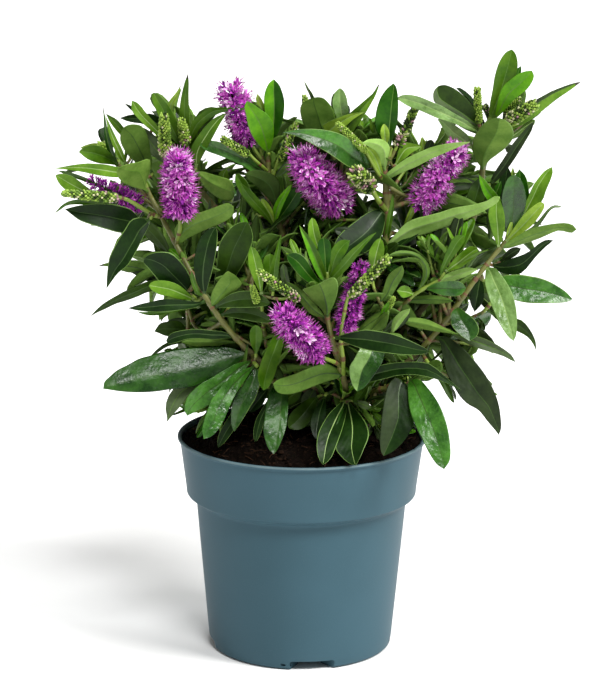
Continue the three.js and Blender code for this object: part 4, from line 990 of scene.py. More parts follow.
# the two edges of leaves that show, left and right of the way from foot to tip: row: (foot, tip, left, right)
TRACES = {
    0: ((117, 165), (103, 106.5), [(110, 156), (105.6, 145), (104.1, 132), (103.6, 118)], [(116.7, 160), (113.3, 149.4), (108.9, 136), (106, 122.8), (104.5, 115)]),
    1: ((126.5, 164), (105.2, 115), [(121, 160.6), (114.4, 149.4), (109.4, 136), (106.9, 124)], [(125.6, 159.4), (122.8, 150.6), (117.8, 140.6), (112.2, 129.4), (107.8, 120.6)]),
    2: ((130, 146), (106.1, 113.9), [(126, 142), (119.4, 134), (114.4, 128.3), (109, 120.6)], [(129, 137), (123, 126.5), (116.7, 119.4), (110, 115.6)]),
    3: ((118, 166), (79, 152.2), [(110, 164.4), (99, 163.3), (89, 160), (83.3, 156)], [(115.6, 159.4), (110, 152.8), (103.3, 147.2), (94.4, 145), (85.6, 146.7), (81, 149.4)]),
    4: ((118, 160), (80, 148), [(100, 152), (88, 150)], [(108, 147), (96, 143), (86, 145)]),
    5: ((131, 176), (55.2, 168.3), [(117, 177.5), (105.6, 176.5), (96.7, 175), (83.3, 172.2), (70, 170), (62, 169.2)], [(126, 169), (116.7, 166.8), (105.6, 164.4), (96.7, 163.7), (86.7, 163.3), (72.2, 165), (63.3, 166.7)]),
    6: ((114, 197), (55.5, 175), [(100, 197), (84, 196), (70, 192), (62, 187), (57, 180)], [(100, 193), (90, 189), (80, 181.5), (72, 176), (66, 174), (60, 173.7)]),
    7: ((112, 194), (58.3, 171), [(95, 186), (80, 180), (66, 175)], [(98, 184), (84, 177), (70, 172.2), (63, 170.8)]),
    8: ((152, 173), (123.3, 127.5), [(140, 166), (132, 159.4), (127.8, 155), (123.3, 148.3), (120.2, 140.6), (120.6, 133.9)], [(152, 160), (150.6, 153.9), (150, 147), (147.8, 136), (142.2, 126.5), (134.4, 124.2), (128, 125)]),
    9: ((146.5, 195), (118, 167.5), [(142.2, 189.4), (133.3, 187.2), (125.6, 183.9), (118.9, 178.3), (116.5, 172)], [(145.5, 187), (147, 180), (150, 171.7), (150.6, 163), (148.5, 158.5), (138.9, 161.7), (128, 164)]),
    10: ((176, 150), (132, 100.8), [(164, 141), (151, 130.6), (144.4, 125), (137.8, 118.3), (132.2, 111.7), (131.3, 105)], [(168, 138), (158, 126.5), (150, 117.2), (145.6, 112.3), (141.1, 106.1), (135.8, 101.8)]),
    11: ((178, 142), (119.8, 118.1), [(165, 138), (152, 128), (143, 124), (134.4, 122.8), (126.7, 121.1)], [(168, 126), (155, 114.5), (145.6, 113.7), (132.2, 114.4), (125.6, 115.9)]),
    12: ((150, 122), (124.2, 103.3), [(140, 117), (132, 111)], [(141, 114), (133, 107)]),
    13: ((182, 147), (153.3, 92.6), [(176, 143), (168, 134), (162, 124), (156.7, 111.7), (153.3, 103.9), (151.8, 97.2)], [(182, 140), (180, 130), (176.5, 119.4), (172.2, 111.7), (167.8, 105), (163.3, 99.4), (157.8, 94)]),
    14: ((172, 125), (180.6, 85.2), [(168, 112), (167.5, 104), (172.2, 97.2), (176.7, 91.7)], [(173, 118), (173, 108), (176, 101), (179.1, 92.8)]),
    15: ((187, 148), (187.8, 73.9), [(183, 140), (180.5, 128), (179.2, 114), (180, 104), (181.7, 93.9), (184.4, 82.8)], [(189.5, 140), (190, 128), (189.2, 112), (188.7, 96.1), (188.8, 82.8)]),
    16: ((190, 140), (189, 105), [(188.6, 130), (188.7, 115)], [(191.5, 135), (190.8, 118), (190, 109)]),
    20: ((141, 222), (65, 209.2), [(134, 232), (121, 233), (106.7, 229.4), (92.2, 225), (80, 220.6), (72.2, 215)], [(136, 214), (128, 208), (112, 204), (94.4, 203.5), (78.9, 205.5), (70, 207.6)]),
    21: ((122, 206), (55, 213.5), [(110, 207), (95, 206), (80, 204.5), (67.8, 205.2), (61.5, 209)], [(110, 202), (95, 200), (80, 199.2), (72, 200.3), (66, 202.5), (60, 207)]),
    22: ((150, 219), (106.6, 288.5), [(149, 226), (143.3, 237.2), (136.7, 250.6), (127.8, 265), (117.8, 273.5)], [(140, 217.5), (131, 220), (125, 229), (119.4, 237.2), (113.9, 247.2), (109.4, 257.2), (107.8, 267.2), (106.8, 278.3)]),
    23: ((178.5, 245), (233.5, 206.5), [(176, 238), (174.6, 232), (175.5, 226), (183.3, 218.9), (192.2, 214.2), (201.1, 212), (212.2, 208.1), (221.1, 204.8), (228, 202.9)], [(182.2, 243), (187.8, 238.5), (196.7, 234), (206.7, 229.6), (217.8, 225), (226.7, 220.6), (232, 216.5), (234, 212)]),
    24: ((205, 297.5), (215.5, 227.2), [(201.5, 291), (196.5, 282), (194, 269.5), (193.9, 260.6), (195.6, 251.7), (198.3, 241.7), (202.2, 235), (208, 229.5)], [(207.8, 287.2), (210.6, 277.2), (213.3, 267.2), (216.1, 252.8), (217.3, 241.7), (217.3, 232)]),
    25: ((213, 300), (247, 222), [(214, 283), (217, 262), (219, 244), (228, 230), (238, 223)], [(222, 292), (236, 276), (247, 258), (253, 240), (251, 228)]),
    26: ((202, 298), (191.7, 271), [(196, 293.5), (191.5, 284), (190, 276)], [(200, 291.7), (196.7, 283.9), (194, 275.5)]),
    27: ((178, 286), (97.8, 266.2), [(165, 285), (150, 276), (135, 272.5), (121, 269.5), (107, 266.3)], [(168, 274), (152, 267), (138, 262.5), (124, 261), (107, 262.8)]),
    28: ((196, 299), (144.5, 258.5), [(180, 296), (165, 288), (156, 278), (149, 269), (143.5, 262.5)], [(193, 286), (189, 274), (184.4, 266), (177, 257.5), (170, 252.7), (161.1, 251.8), (152, 253.2), (147, 256)]),
    29: ((174, 286), (90.7, 316.5), [(162, 290), (148.9, 291.7), (138.9, 296.1), (126.7, 300.6), (115.6, 303.9), (104.4, 309.4), (96.7, 312.8)], [(162, 279), (147.8, 281.1), (137.8, 285.6), (126.7, 290), (115.6, 296.1), (104.4, 302.8), (96.7, 309.4)]),
    30: ((195, 300), (148.7, 285.8), [(185.6, 299.6), (176.7, 298.8), (167.8, 296.5), (158.9, 294.4), (152, 290.5)], [(188.5, 293), (183.3, 288.3), (176.7, 283.9), (167.8, 281), (158.9, 280.4), (152, 281.9)]),
    31: ((203, 304), (128, 308.2), [(196, 307.5), (184, 309.5), (172, 311), (158, 312), (145, 311.5), (135, 310)], [(195.6, 301.7), (184.4, 300.4), (172.2, 299.2), (162.2, 299.2), (152.2, 301.5), (143.3, 303.3), (134.4, 306)]),
    32: ((203, 305), (137, 311.5), [(190, 308.5), (178, 311.5), (165.6, 314.3), (152.2, 315.6), (143, 314.2)], [(190, 306), (178, 308.5), (165.6, 310), (152, 311.5), (143, 312)]),
    33: ((213.5, 307), (228, 271), [(210.5, 300), (212, 292), (214.8, 286.5), (219, 280), (225, 273)], [(219, 303), (229, 297.5), (238, 289), (242, 284), (236, 276)]),
    36: ((186, 333), (154.3, 331.5), [(178, 337), (166, 336), (158.5, 333)], [(183, 324), (177, 320.5), (168, 321.5), (160, 323.5)]),
    37: ((238, 335), (166.2, 341), [(225, 338.5), (212, 339.5), (200, 338.5), (188, 339), (177, 342.3), (169, 344)], [(225, 332), (212, 330.5), (198, 329), (184, 330), (173, 332.5), (168, 336.5)]),
    38: ((236, 342), (181.5, 342), [(222, 345), (208, 346), (195, 346.3), (186, 344)], [(222, 339), (208, 338.5), (196, 338.5), (186, 340)]),
    39: ((206, 345), (151, 356), [(190, 345), (183, 343.5), (174.4, 344.6), (165.6, 347.5), (156.7, 353.5)], [(192, 341), (180, 339.5), (170, 341.5), (162.2, 345.4), (155.6, 350.6)]),
    40: ((246.3, 353.8), (103.2, 388.8), [(242.5, 358.8), (232.5, 366.3), (220, 373.8), (207.5, 380.6), (195, 386.3), (182.5, 388.1), (170, 389.4), (157.5, 391.3), (145, 392.3), (132.5, 392.3), (120, 391.3), (111.3, 390)], [(240, 350.6), (230, 347.5), (215, 346.3), (201.3, 346.9), (185, 348.1), (172.5, 350), (160, 352.5), (150, 355.6), (138.8, 358.8), (127.5, 365), (117.5, 370), (110, 376.3), (104.4, 381.9)]),
    41: ((240, 362), (166.8, 422), [(225, 372), (205, 384), (195, 390), (188.8, 394.5), (182.5, 404), (175, 412.5)], [(225, 366), (200, 376), (182, 384), (172, 390), (166.5, 401), (165.5, 410), (167, 417)]),
    42: ((250, 362), (187.3, 415.8), [(243, 372), (232, 384), (221, 394), (210, 404), (198, 410.5)], [(238, 363), (226, 369), (212, 377.5), (200, 384.5), (189, 394.5), (185, 404), (184.6, 411)]),
    43: ((253.8, 367), (203.8, 439), [(250, 373), (242.5, 384), (235, 395.5), (229, 408), (224, 420), (218, 430), (211, 436.5)], [(245, 368.8), (237.5, 372.5), (227.5, 380), (218.8, 390), (211.3, 400), (207.5, 410), (203.8, 421.3), (202.3, 430)]),
    44: ((256.3, 366.3), (234.3, 431.5), [(260, 375), (259.5, 385), (256, 397), (249.5, 408), (242, 420.5)], [(252, 372), (244, 383), (236.5, 394), (232, 405), (231, 418), (232, 427)]),
    45: ((258, 386), (218, 447.8), [(256, 398), (246, 412), (236, 427), (226, 441)], [(250, 394), (238, 404), (226, 421), (219.5, 432.5), (217.5, 441)]),
    46: ((226, 396), (196.9, 437.5), [(212, 420), (205, 432), (200, 437)], [(210, 412), (202, 425), (197.5, 433)]),
    47: ((285, 331), (263.5, 390.3), [(284, 341), (281.5, 352), (278.3, 363.3), (275, 374.4), (271.7, 382.2), (267.5, 388)], [(277, 333), (272.2, 338.3), (266.1, 350), (261.7, 360), (258.3, 371.1), (257.8, 379), (260.3, 386)]),
    49: ((280, 382), (273.8, 454), [(287, 392), (288, 405), (287.5, 417), (286, 428), (282.5, 438), (278.3, 447.8)], [(272, 388), (268, 397), (265.4, 408), (264.2, 419), (263.2, 430), (265.4, 441), (269, 449.3)]),
    50: ((276, 388), (255.6, 442), [(272, 400), (266, 415), (262, 430), (258.5, 438.5)], [(268, 399), (262, 409), (256.5, 418.5), (253.5, 430), (253.8, 438)]),
    51: ((325, 281), (299.2, 225), [(321.7, 280.3), (317.2, 274.2), (312.8, 265.3), (308.3, 254.2), (305, 244.2), (301.7, 234.2)], [(326.3, 278), (325.6, 271), (322.8, 262.5), (319, 253), (314.5, 244.5), (308.5, 235.5), (303, 230)]),
    52: ((331, 282), (376.2, 232.7), [(333, 270.5), (338.3, 264), (345, 256), (351.7, 249.3), (358.3, 244.3), (364, 239.6), (370, 235.3)], [(336.1, 278.9), (342.8, 273.3), (349.4, 266.6), (356.4, 257.5), (363.3, 247.8), (370, 240)]),
    53: ((328, 288), (287, 255), [(320, 287), (309.4, 283.1), (302.8, 278.7), (297.2, 273.1), (291.7, 266.4), (287.6, 260)], [(320, 281), (316.1, 276), (311.7, 268.5), (307.2, 260.9), (302.8, 255.7), (297.2, 252.9), (291.5, 252.8)]),
    54: ((324, 266), (311.8, 217.8), [(318, 256), (312, 245), (308.5, 235.5), (308, 228), (309, 222)], [(324, 256), (322.5, 245), (320.6, 236), (318, 226), (315, 219.5)]),
    55: ((327, 276), (323.5, 238), [(322, 266), (318.5, 253), (317.6, 245), (319.5, 240)], [(329, 266), (331, 255), (331, 246), (329, 240.5)]),
    56: ((330, 280), (350, 240.5), [(329.4, 268), (330, 256), (332.5, 247.5), (338.3, 241.4), (344, 239.6)], [(333, 274), (338.3, 264.5), (344, 256), (348.3, 247.6)]),
    58: ((328, 318), (319.5, 283.6), [(325, 315.3), (321.7, 309.8), (316.1, 304.2), (310.6, 298.7), (305, 293.1), (302.6, 289), (309.4, 287.3)], [(330.6, 310.9), (334.4, 303.1), (337.2, 294.2), (338.4, 286.4), (337.3, 280.5), (333.5, 277.3), (327, 279.3)]),
    59: ((322, 320), (287, 281.5), [(312, 315), (303, 306), (296, 295), (289, 286)], [(322, 312), (313, 301), (305, 293), (296, 285.5)]),
    60: ((290, 292), (283, 264), [(284, 285), (280.5, 276), (280.5, 268)], [(290, 283), (288, 274), (286.5, 267)]),
    61: ((262, 296), (251, 246.2), [(257.5, 288), (252.8, 277.6), (249.4, 268.7), (248.2, 260.9), (248.3, 253)], [(263, 286), (263.8, 275), (262.8, 265), (260.3, 257.5), (256.5, 250.5)]),
    62: ((273, 292), (281, 235), [(270.5, 284), (269.7, 274), (270.3, 266), (273, 258.5), (275.8, 249.5), (278, 242)], [(277, 282), (278.5, 273), (279.5, 263), (280.3, 252), (281, 243)]),
    63: ((270, 290), (270, 253.5), [(265, 280), (263, 268), (264, 257.5)], [(275, 280), (277, 268), (275.5, 257)]),
    64: ((384, 209.5), (336, 256), [(385, 216), (384.5, 226), (381, 238), (373, 248), (362, 255), (350, 258)], [(377.2, 209.2), (368.3, 212), (358.3, 218.7), (349.4, 225.4), (342.8, 231), (337, 238), (334, 247)]),
    65: ((373, 271.5), (380.5, 238.2), [(371, 267), (368.6, 260), (368.8, 252.5), (371.5, 246), (376, 240.2)], [(378, 266), (382.5, 259), (384.3, 250.5), (383.3, 242.5)]),
    66: ((387, 243), (393.1, 194), [(385, 235), (386.5, 220), (390, 205), (391, 199)], [(389.5, 236), (392.5, 220), (394, 207), (393.9, 199)]),
    67: ((404, 238), (415, 198.5), [(404, 225), (408, 213), (412.5, 204)], [(410, 222), (415, 212), (416.5, 204)]),
    68: ((379, 303), (402.3, 265.4), [(381, 296), (384.4, 285), (386.7, 277.8), (391.1, 272), (397.8, 267.6)], [(386, 300), (391.5, 296), (397.8, 285.6), (402.2, 277.8), (404, 271)]),
    69: ((391.5, 333), (410, 308.8), [(391.5, 326), (393, 319.5), (397.5, 314.3), (402.2, 310.8)], [(396, 330), (400.5, 324.4), (405, 318.5), (409, 313.2)]),
    72: ((334, 338), (429, 351.5), [(345, 334), (355, 331.5), (366, 329.6), (378, 331), (391, 333.5), (404, 338), (417, 344), (425, 348)], [(341, 340.5), (350, 344.5), (361, 348.5), (373, 351.3), (386, 353), (400, 354.6), (414, 355), (423, 354)]),
    73: ((342.6, 375), (273, 384), [(340.6, 377.5), (329.4, 380.8), (318.3, 384.6), (307.2, 389), (297.2, 393), (287.2, 394.6), (279, 393.3), (275, 389.5)], [(340, 371), (333.9, 366.5), (325, 363.3), (316.1, 365.4), (305.5, 369.2), (296.1, 373.1), (286.1, 376.6), (277.2, 380)]),
    74: ((346, 400), (323.2, 464.3), [(346.4, 408), (345.6, 416.7), (342.8, 427.8), (339.4, 437.8), (335.6, 447.8), (331.7, 456.7), (327.2, 461.9)], [(342.5, 401), (337.2, 405.6), (329.4, 413.3), (322.8, 423.3), (318.3, 433.3), (316.6, 444.4), (317.6, 454.4), (320.2, 461)]),
    75: ((347, 400), (355.8, 465.3), [(349.6, 402), (356.1, 410), (362.8, 417.8), (367.2, 425.6), (369, 433), (367.8, 440), (363.9, 448.9), (360.6, 456.7)], [(345.5, 408), (343, 418), (339, 430), (335.5, 441), (335.8, 449.5), (340, 455.3), (345, 460.2), (350.6, 464)]),
    76: ((325, 396), (317, 439.5), [(326, 408), (325, 422), (320, 434)], [(320, 402), (313, 412), (310.5, 425), (313, 435)]),
    77: ((318, 397), (289, 428), [(316, 405), (312, 418), (304, 428), (296, 430)], [(310, 398), (299, 405), (290, 414), (287.5, 423)]),
    78: ((376, 336), (357, 391.3), [(384, 348), (384.3, 356.7), (381.7, 363.3), (376.1, 372.2), (370.6, 380), (363.9, 387.8)], [(366, 341), (358.3, 351.1), (353.9, 359.5), (349.6, 366.7), (350, 376.7), (352.8, 385.6)]),
    79: ((352, 386), (462, 391), [(362, 378), (372, 368), (387.5, 363.6), (402.5, 362), (417.5, 361.7), (426.3, 362.3), (433.8, 366.3), (440, 371.7), (446.3, 377.3), (455, 385)], [(362, 384), (372, 381.5), (381.7, 379.8), (392.5, 376.5), (405, 374.6), (417.5, 375), (427.5, 377.1), (437.5, 379.6), (448.8, 384), (457.5, 389)]),
    80: ((354, 401), (373, 427), [(362, 405), (368, 412), (373.5, 419), (375.3, 424)], [(360, 409), (365, 417.5), (369.4, 423.5)]),
    81: ((403, 377), (383.8, 456), [(407, 386), (410, 400), (413, 413), (414, 424), (410, 432.5), (402.5, 442.7), (393, 451.3)], [(395, 378), (388.3, 385.6), (385, 396.7), (382.2, 413.3), (380.5, 430), (380, 443.3), (381.3, 452)]),
    82: ((413.5, 376), (444, 469.3), [(420, 380), (427.5, 387.5), (435, 397.5), (441.3, 408.8), (446.3, 422.5), (449.4, 437.5), (450.6, 451.3), (449.4, 461.3)], [(409, 379), (407.8, 387), (408.6, 402.5), (411.3, 415), (416.3, 427.5), (421.3, 437.5), (428.8, 452.5), (436.3, 463.8)]),
    83: ((434, 372), (454.2, 403), [(444, 376), (448.5, 382.5), (451.5, 390), (453.8, 397.5)], [(436, 377), (440, 383), (446, 394), (451, 401)]),
    84: ((386.5, 245), (500, 197), [(391.1, 238.9), (398.9, 230), (405.6, 223.3), (414.4, 218.7), (427.8, 215.4), (440, 212.3), (452.5, 208.1), (465, 206), (477.5, 203.6), (487.5, 200.5), (495, 196)], [(394.4, 244.2), (403.3, 241.3), (414.4, 237.4), (427.8, 233.3), (440, 229), (452.5, 224.4), (465, 219.5), (477.5, 214.4), (490, 207.5), (498, 202)]),
    85: ((499, 248.5), (498, 196), [(495, 240), (491.3, 230), (488.8, 220), (488.1, 213.5), (490, 206), (493.5, 199)], [(500.5, 244), (503.8, 232.5), (505, 223.8), (504.4, 213.8), (501.5, 204)]),
    86: ((505.6, 242.5), (543.8, 203.3), [(510, 233.8), (515, 226.3), (521.3, 217.5), (527.5, 210.6), (535, 204.8), (540, 202)], [(510, 240.5), (515, 237.5), (523.8, 231.9), (531.3, 226.3), (537.5, 218.8), (542.5, 211.3), (544.6, 206.5)]),
    88: ((517, 240), (561.5, 206.5), [(524, 232), (532.5, 226.5), (540, 218.3), (546.3, 210.6), (551.3, 206.2), (556.3, 205)], [(526, 235), (537.5, 227.5), (543.8, 219.4), (549.5, 211), (555, 207.6), (559, 207.8)]),
    89: ((503, 249), (576.5, 229.5), [(510, 240), (520, 233.8), (530, 228.8), (540, 226.1), (552.5, 223.8), (565, 222.9), (572.5, 224.8)], [(508, 248.5), (515, 246.5), (527.5, 242.7), (540, 238.3), (550, 233.8), (557.5, 230.8), (565, 231.5), (571.3, 233.2)]),
    90: ((508.5, 240), (513.3, 174.8), [(505.5, 228), (503.5, 215), (501.5, 203), (501.5, 197), (503.8, 187.5), (507.5, 178.8)], [(514, 230), (519, 222), (524, 212), (526.2, 202), (525.6, 193), (523.5, 184.5), (519.5, 178.3)]),
    91: ((518, 232), (519.3, 169.2), [(512, 215), (510, 195), (514, 178)], [(527.5, 215), (529.5, 198), (528, 184), (525.3, 175.5)]),
    92: ((514, 234), (552, 167), [(516, 225), (524, 206), (530, 192.5), (532.5, 186.3), (538.8, 177.5), (545, 170.6)], [(522, 228), (533, 214), (543, 199.5), (546.3, 190), (550.6, 180), (552.8, 172.5)]),
    93: ((505, 208), (508, 167.2), [(500, 200), (498.5, 186), (500, 177), (503, 171)], [(509, 198), (512, 184), (511, 173)]),
    95: ((505, 212), (479, 174.8), [(497, 208), (489, 202), (483, 193), (480, 183.5)], [(503.5, 204), (496.5, 193.5), (490, 186), (485, 179.8)]),
    97: ((492, 265), (553, 240.3), [(502.5, 261.7), (512.5, 258), (522.5, 254.8), (531.3, 249.8), (538.8, 243.5), (546.3, 239.8)], [(497, 270.5), (507, 274.3), (519, 274.2), (526.3, 268.8), (531.3, 262.5), (537.5, 255), (545, 247.5), (550.5, 243)]),
    98: ((486, 281), (572.5, 299), [(494, 277.5), (502.5, 276), (510, 274.8), (520, 274.6), (530, 276.1), (540, 278), (550, 281.8), (558.8, 286.8), (566.5, 292.4)], [(493, 287), (503, 295), (515, 300.2), (525, 302.5), (535, 303.3), (550, 303.3), (562.5, 302.7), (569.5, 301.3)]),
    99: ((489.4, 267.5), (513.3, 341), [(495, 268.3), (501.3, 275), (507.5, 283.8), (512.5, 293.8), (515.6, 305), (516.9, 316.3), (516.9, 328.8), (515.8, 336.5)], [(485.5, 272), (484.9, 283.8), (487.5, 293.8), (491.3, 305), (496.3, 317.5), (502.5, 328.8), (508.8, 337.3)]),
    100: ((481, 277), (474.5, 312), [(484, 288), (484, 298), (481, 305)], [(474, 284), (470.5, 293), (470, 302)]),
    101: ((488, 312), (536.3, 351), [(500, 313), (512, 317), (522.5, 320.6), (527.5, 326), (532.5, 333.6), (535.8, 342.3)], [(497, 320), (508, 326), (517.5, 331.5), (525, 335.2), (530, 339.6), (534.2, 345.8)]),
    102: ((450, 331), (515.5, 362), [(457, 333), (467, 334), (477.5, 336.3), (486.3, 339.4), (496.3, 344.2), (505, 349.8), (511.5, 355)], [(455, 337), (461, 340.5), (470, 345.2), (480, 349), (492.5, 352.7), (503.8, 356.5), (511, 360.3)]),
    103: ((456, 307), (469.5, 341), [(460, 308.3), (466, 312.5), (472.5, 317.5), (477.5, 323.8), (478.9, 330), (476.5, 336.3)], [(451.8, 312), (450.5, 318), (451.3, 325), (456, 331.3), (462, 336.5)]),
    104: ((439, 338.5), (498.8, 435), [(446, 336.5), (452, 339.8), (457.5, 343.8), (465, 350), (475, 361.3), (483.8, 372.5), (491.3, 385), (496.3, 396.3), (499.4, 407.5), (501, 420), (501, 428.8)], [(440.5, 344), (442.3, 355), (444.4, 365), (447.5, 375), (453.8, 386.3), (460, 396.3), (467.5, 403.8), (478.8, 410.6), (487.5, 421.3), (494.5, 429.5)]),
    106: ((400, 320), (458.3, 334.3), [(405, 318.3), (412.2, 317.6), (421.1, 318.1), (430, 320.4), (438.9, 324.8), (447.8, 329.3)], [(404, 323), (409, 325.6), (416.7, 327.9), (427.8, 330.2), (438.9, 331.9), (447.8, 333)]),
    107: ((441, 277), (463.5, 235.8), [(440, 270), (443, 261.5), (445.6, 253.3), (448.9, 245.6), (453.3, 237.8), (458, 234.8)], [(444.5, 270), (450, 261.3), (456.7, 253.3), (461.5, 246.5), (465.5, 240)]),
    108: ((443, 273), (477.3, 248.5), [(448.5, 267), (453.3, 260), (458.9, 254.4), (465.6, 248.7), (471.5, 246.2)], [(453, 270), (461.1, 267.5), (467, 263), (473.5, 258.5), (478, 253)]),
    109: ((437, 283), (477, 269), [(442, 277), (450, 272), (459, 269.2), (467.8, 267.4)], [(443, 282.3), (451, 281.3), (459.5, 279), (468, 275.5), (474, 272)]),
    110: ((424, 289), (466, 288), [(428, 287), (434.4, 283.3), (444.4, 280.9), (455.6, 280.6), (462.2, 283)], [(433, 292), (441.1, 295.2), (450, 296.3), (458.9, 295.8), (463.5, 292.5)]),
    111: ((416.5, 292), (387.5, 255.8), [(418, 288), (421.1, 281.1), (422.8, 273.3), (421.1, 265.6), (415.6, 259.4), (407.8, 256), (398.9, 256.5)], [(421.5, 287), (426.7, 281.1), (430, 274.4), (430, 267.8), (426.7, 261.1), (421.1, 255.4), (414.4, 252), (405.6, 250.4), (396.7, 251)]),
    112: ((413, 293), (397, 291), [(408, 297), (402, 297.5)], [(408, 286), (401, 286.5)]),
    113: ((188, 150), (246, 109), [(187, 140), (189, 131), (192.8, 120.6), (198.9, 115), (205.6, 110), (212.2, 107.6), (221.1, 107.4), (232.2, 107), (240, 107.2)], [(193, 140), (200, 129), (210, 119), (219, 113.5), (228, 111.3), (238.9, 110.8)]),
    114: ((196, 168), (226.5, 113), [(190.6, 152), (194, 142), (200, 133), (207, 124.5), (216, 117)], [(199, 163), (206, 150), (213, 137), (220, 124), (224.5, 117)]),
    115: ((268.3, 152.8), (246.7, 101), [(264.4, 150.6), (258.9, 145), (252.2, 136.1), (247.8, 125), (246, 115), (244.4, 107.2)], [(270, 149.4), (272.8, 140.6), (273.9, 131.7), (273.3, 123.9), (270.6, 118.3), (265.6, 112.8), (258.9, 108.3), (252.2, 103.3)]),
    116: ((270, 152), (273.9, 79.2), [(268, 140), (266, 125), (264.5, 110), (263.9, 100.6), (265, 91.7), (268.9, 83.3)], [(271.7, 147.2), (276.7, 136.1), (281.7, 123.9), (283.9, 112.8), (284.4, 101.7), (282.2, 91.7), (278.9, 84.4)]),
    117: ((272, 130), (257.2, 93.9), [(262, 120), (257.5, 106), (256, 99)], [(271, 118), (266, 108), (261, 98)]),
    118: ((264, 175), (198, 144), [(255, 174), (247.8, 169.4), (241.1, 165), (227.8, 158.9), (214.4, 153.9), (205.6, 150.5)], [(262.5, 168), (255.6, 160.6), (246.7, 153.9), (236.7, 149.4), (227.8, 145), (218.9, 141.7), (210.6, 140.6)]),
    119: ((248, 166), (204, 170.8), [(238, 165), (231, 162.5), (221, 166), (212, 170)], [(238, 158), (228, 157.5), (221, 160.3), (212, 164.8)]),
    121: ((231, 200), (226.7, 168.3), [(226, 192), (219, 180), (219, 173)], [(230, 188), (228.5, 178), (228, 172)]),
    122: ((192, 171), (234.6, 191), [(203, 171.5), (212.2, 174.2), (221.1, 176.7), (228.9, 179.4), (233, 184.5)], [(201.1, 181.7), (207.8, 190.6), (216.7, 197.2), (225.6, 201.1), (231, 200.4), (234, 196.5)]),
    123: ((256, 214), (235.5, 174.2), [(250, 206), (242.5, 196.5), (237.8, 188.3), (235, 180.6)], [(255, 204), (251.5, 193), (248.9, 185), (244.4, 178.3), (239, 173.8)]),
    124: ((275, 206), (244.3, 174), [(270, 201), (262.2, 192.8), (254.4, 185), (247.8, 179.4)], [(279.5, 198), (280, 186.1), (277.8, 179.4), (273.3, 174.6), (265.6, 171.5), (256.7, 170), (250, 170.8)]),
    125: ((274, 226), (240, 183), [(262, 216), (250, 205), (243, 196)], [(268, 212), (258, 198), (248, 188)]),
    126: ((274, 223), (261.5, 198.8), [(269, 217.5), (263.3, 210.6), (261, 203)], [(274, 216), (272, 209.4), (267.8, 203), (264, 199.5)]),
    127: ((275, 225), (291.5, 184.5), [(272.5, 216), (273.5, 207), (277.8, 198.3), (283.3, 191.3), (288.5, 186.3)], [(278, 218), (282.2, 207.5), (286.7, 197.5), (290.3, 190.5)]),
    129: ((280, 230), (244, 232.5), [(276, 232.3), (269.4, 235), (260.6, 238.3), (253.9, 239), (247, 239.5)], [(272.8, 227.8), (265, 228.7), (259.4, 232), (255, 235), (250.6, 233.1)]),
    130: ((327, 142), (313.5, 97.4), [(316, 137), (306.5, 130), (301.7, 118.9), (300, 110), (301.7, 104), (306.1, 100.4)], [(336, 130), (335.5, 120), (332.5, 108.5), (325.5, 99.6), (320, 97.1)]),
    131: ((320, 112), (304.1, 81.1), [(313, 104), (309, 94), (306, 87.8)], [(317, 104), (312.3, 93.5), (308.7, 88.3)]),
    132: ((343, 138), (340, 88), [(339, 126), (335, 114), (332.4, 105), (333, 97.5), (335.6, 91.5)], [(346, 128), (348.3, 115), (347.8, 104.4), (346.7, 97.8), (343.9, 91.1)]),
    133: ((371, 166), (283, 132.2), [(362, 170), (350.6, 167.8), (342.8, 163.3), (335, 157.8), (325, 151.1), (315, 145.6), (305, 140), (295, 135.6)], [(368, 159.5), (362.8, 152.2), (357.2, 146.7), (349.4, 138.9), (340.6, 133.9), (329.4, 130.6), (316.1, 129), (302.8, 129), (291.7, 130.6)]),
    134: ((344, 141), (379.8, 83.1), [(341, 132), (344, 121), (350.6, 112), (356.1, 107.8), (365, 100), (372.8, 93.3), (376.5, 87.4)], [(350, 137), (353.3, 131.7), (357.2, 125.6), (362.8, 117.8), (369.4, 106.7), (375, 96.7), (378, 89)]),
    135: ((326, 138), (365, 112.2), [(317.5, 130), (327.2, 122.2), (335, 118.9), (345, 115), (356.1, 112.6)], [(337, 136), (345, 127), (352, 120.5), (359, 115.5)]),
    136: ((389.4, 149.4), (393.3, 83.3), [(384, 143), (379, 136), (375.3, 127.8), (375, 121), (376, 112), (378.3, 103.3), (381.7, 95.6), (387.2, 88.3)], [(392.2, 141.1), (395, 132.2), (397.2, 123.3), (398.1, 114.4), (398.3, 104.4), (397.8, 94.4), (396.1, 86.7)]),
    139: ((384, 150), (356.3, 133.8), [(372, 147), (362, 142), (357, 137.5)], [(378, 143), (368, 136.5), (364, 132.5), (359.5, 131.2)]),
    140: ((385, 173), (361.8, 143), [(381.5, 165), (379.4, 157.8), (375.5, 151), (369, 147)], [(387, 164.4), (388.5, 156), (390, 148.5), (387.8, 143.2), (382.8, 139.7), (376.1, 138.7), (368, 139.5)]),
    141: ((384, 178), (366, 147.5), [(379, 174), (372.8, 162), (367.5, 153)], [(383, 172), (380.8, 162), (378, 154), (372.8, 147.8)]),
    142: ((384, 180), (470, 142), [(386, 174), (391.7, 168.9), (400.6, 162.2), (407.2, 157.8), (418.3, 152.6), (430, 147.6), (442.5, 144.4), (457.5, 142.3)], [(391.7, 177.8), (402.8, 172.2), (416.1, 166.9), (432.5, 158.3), (445, 153.1), (457.5, 147.5), (466, 143.9)]),
    143: ((395, 166), (422, 146.5), [(398, 152), (403, 142.8), (411, 143.2), (418, 145)], [(403, 160), (412, 153), (419, 148.5)]),
    146: ((480, 135), (396, 98.5), [(467.5, 129.4), (457.5, 125), (447.5, 121.3), (438.8, 118.8), (430, 115), (420, 110.6), (408, 106)], [(475, 127.5), (466, 120), (453.1, 112.5), (442.5, 106.3), (433.1, 102.3), (420, 96.9), (410, 94.8), (402, 95.2)]),
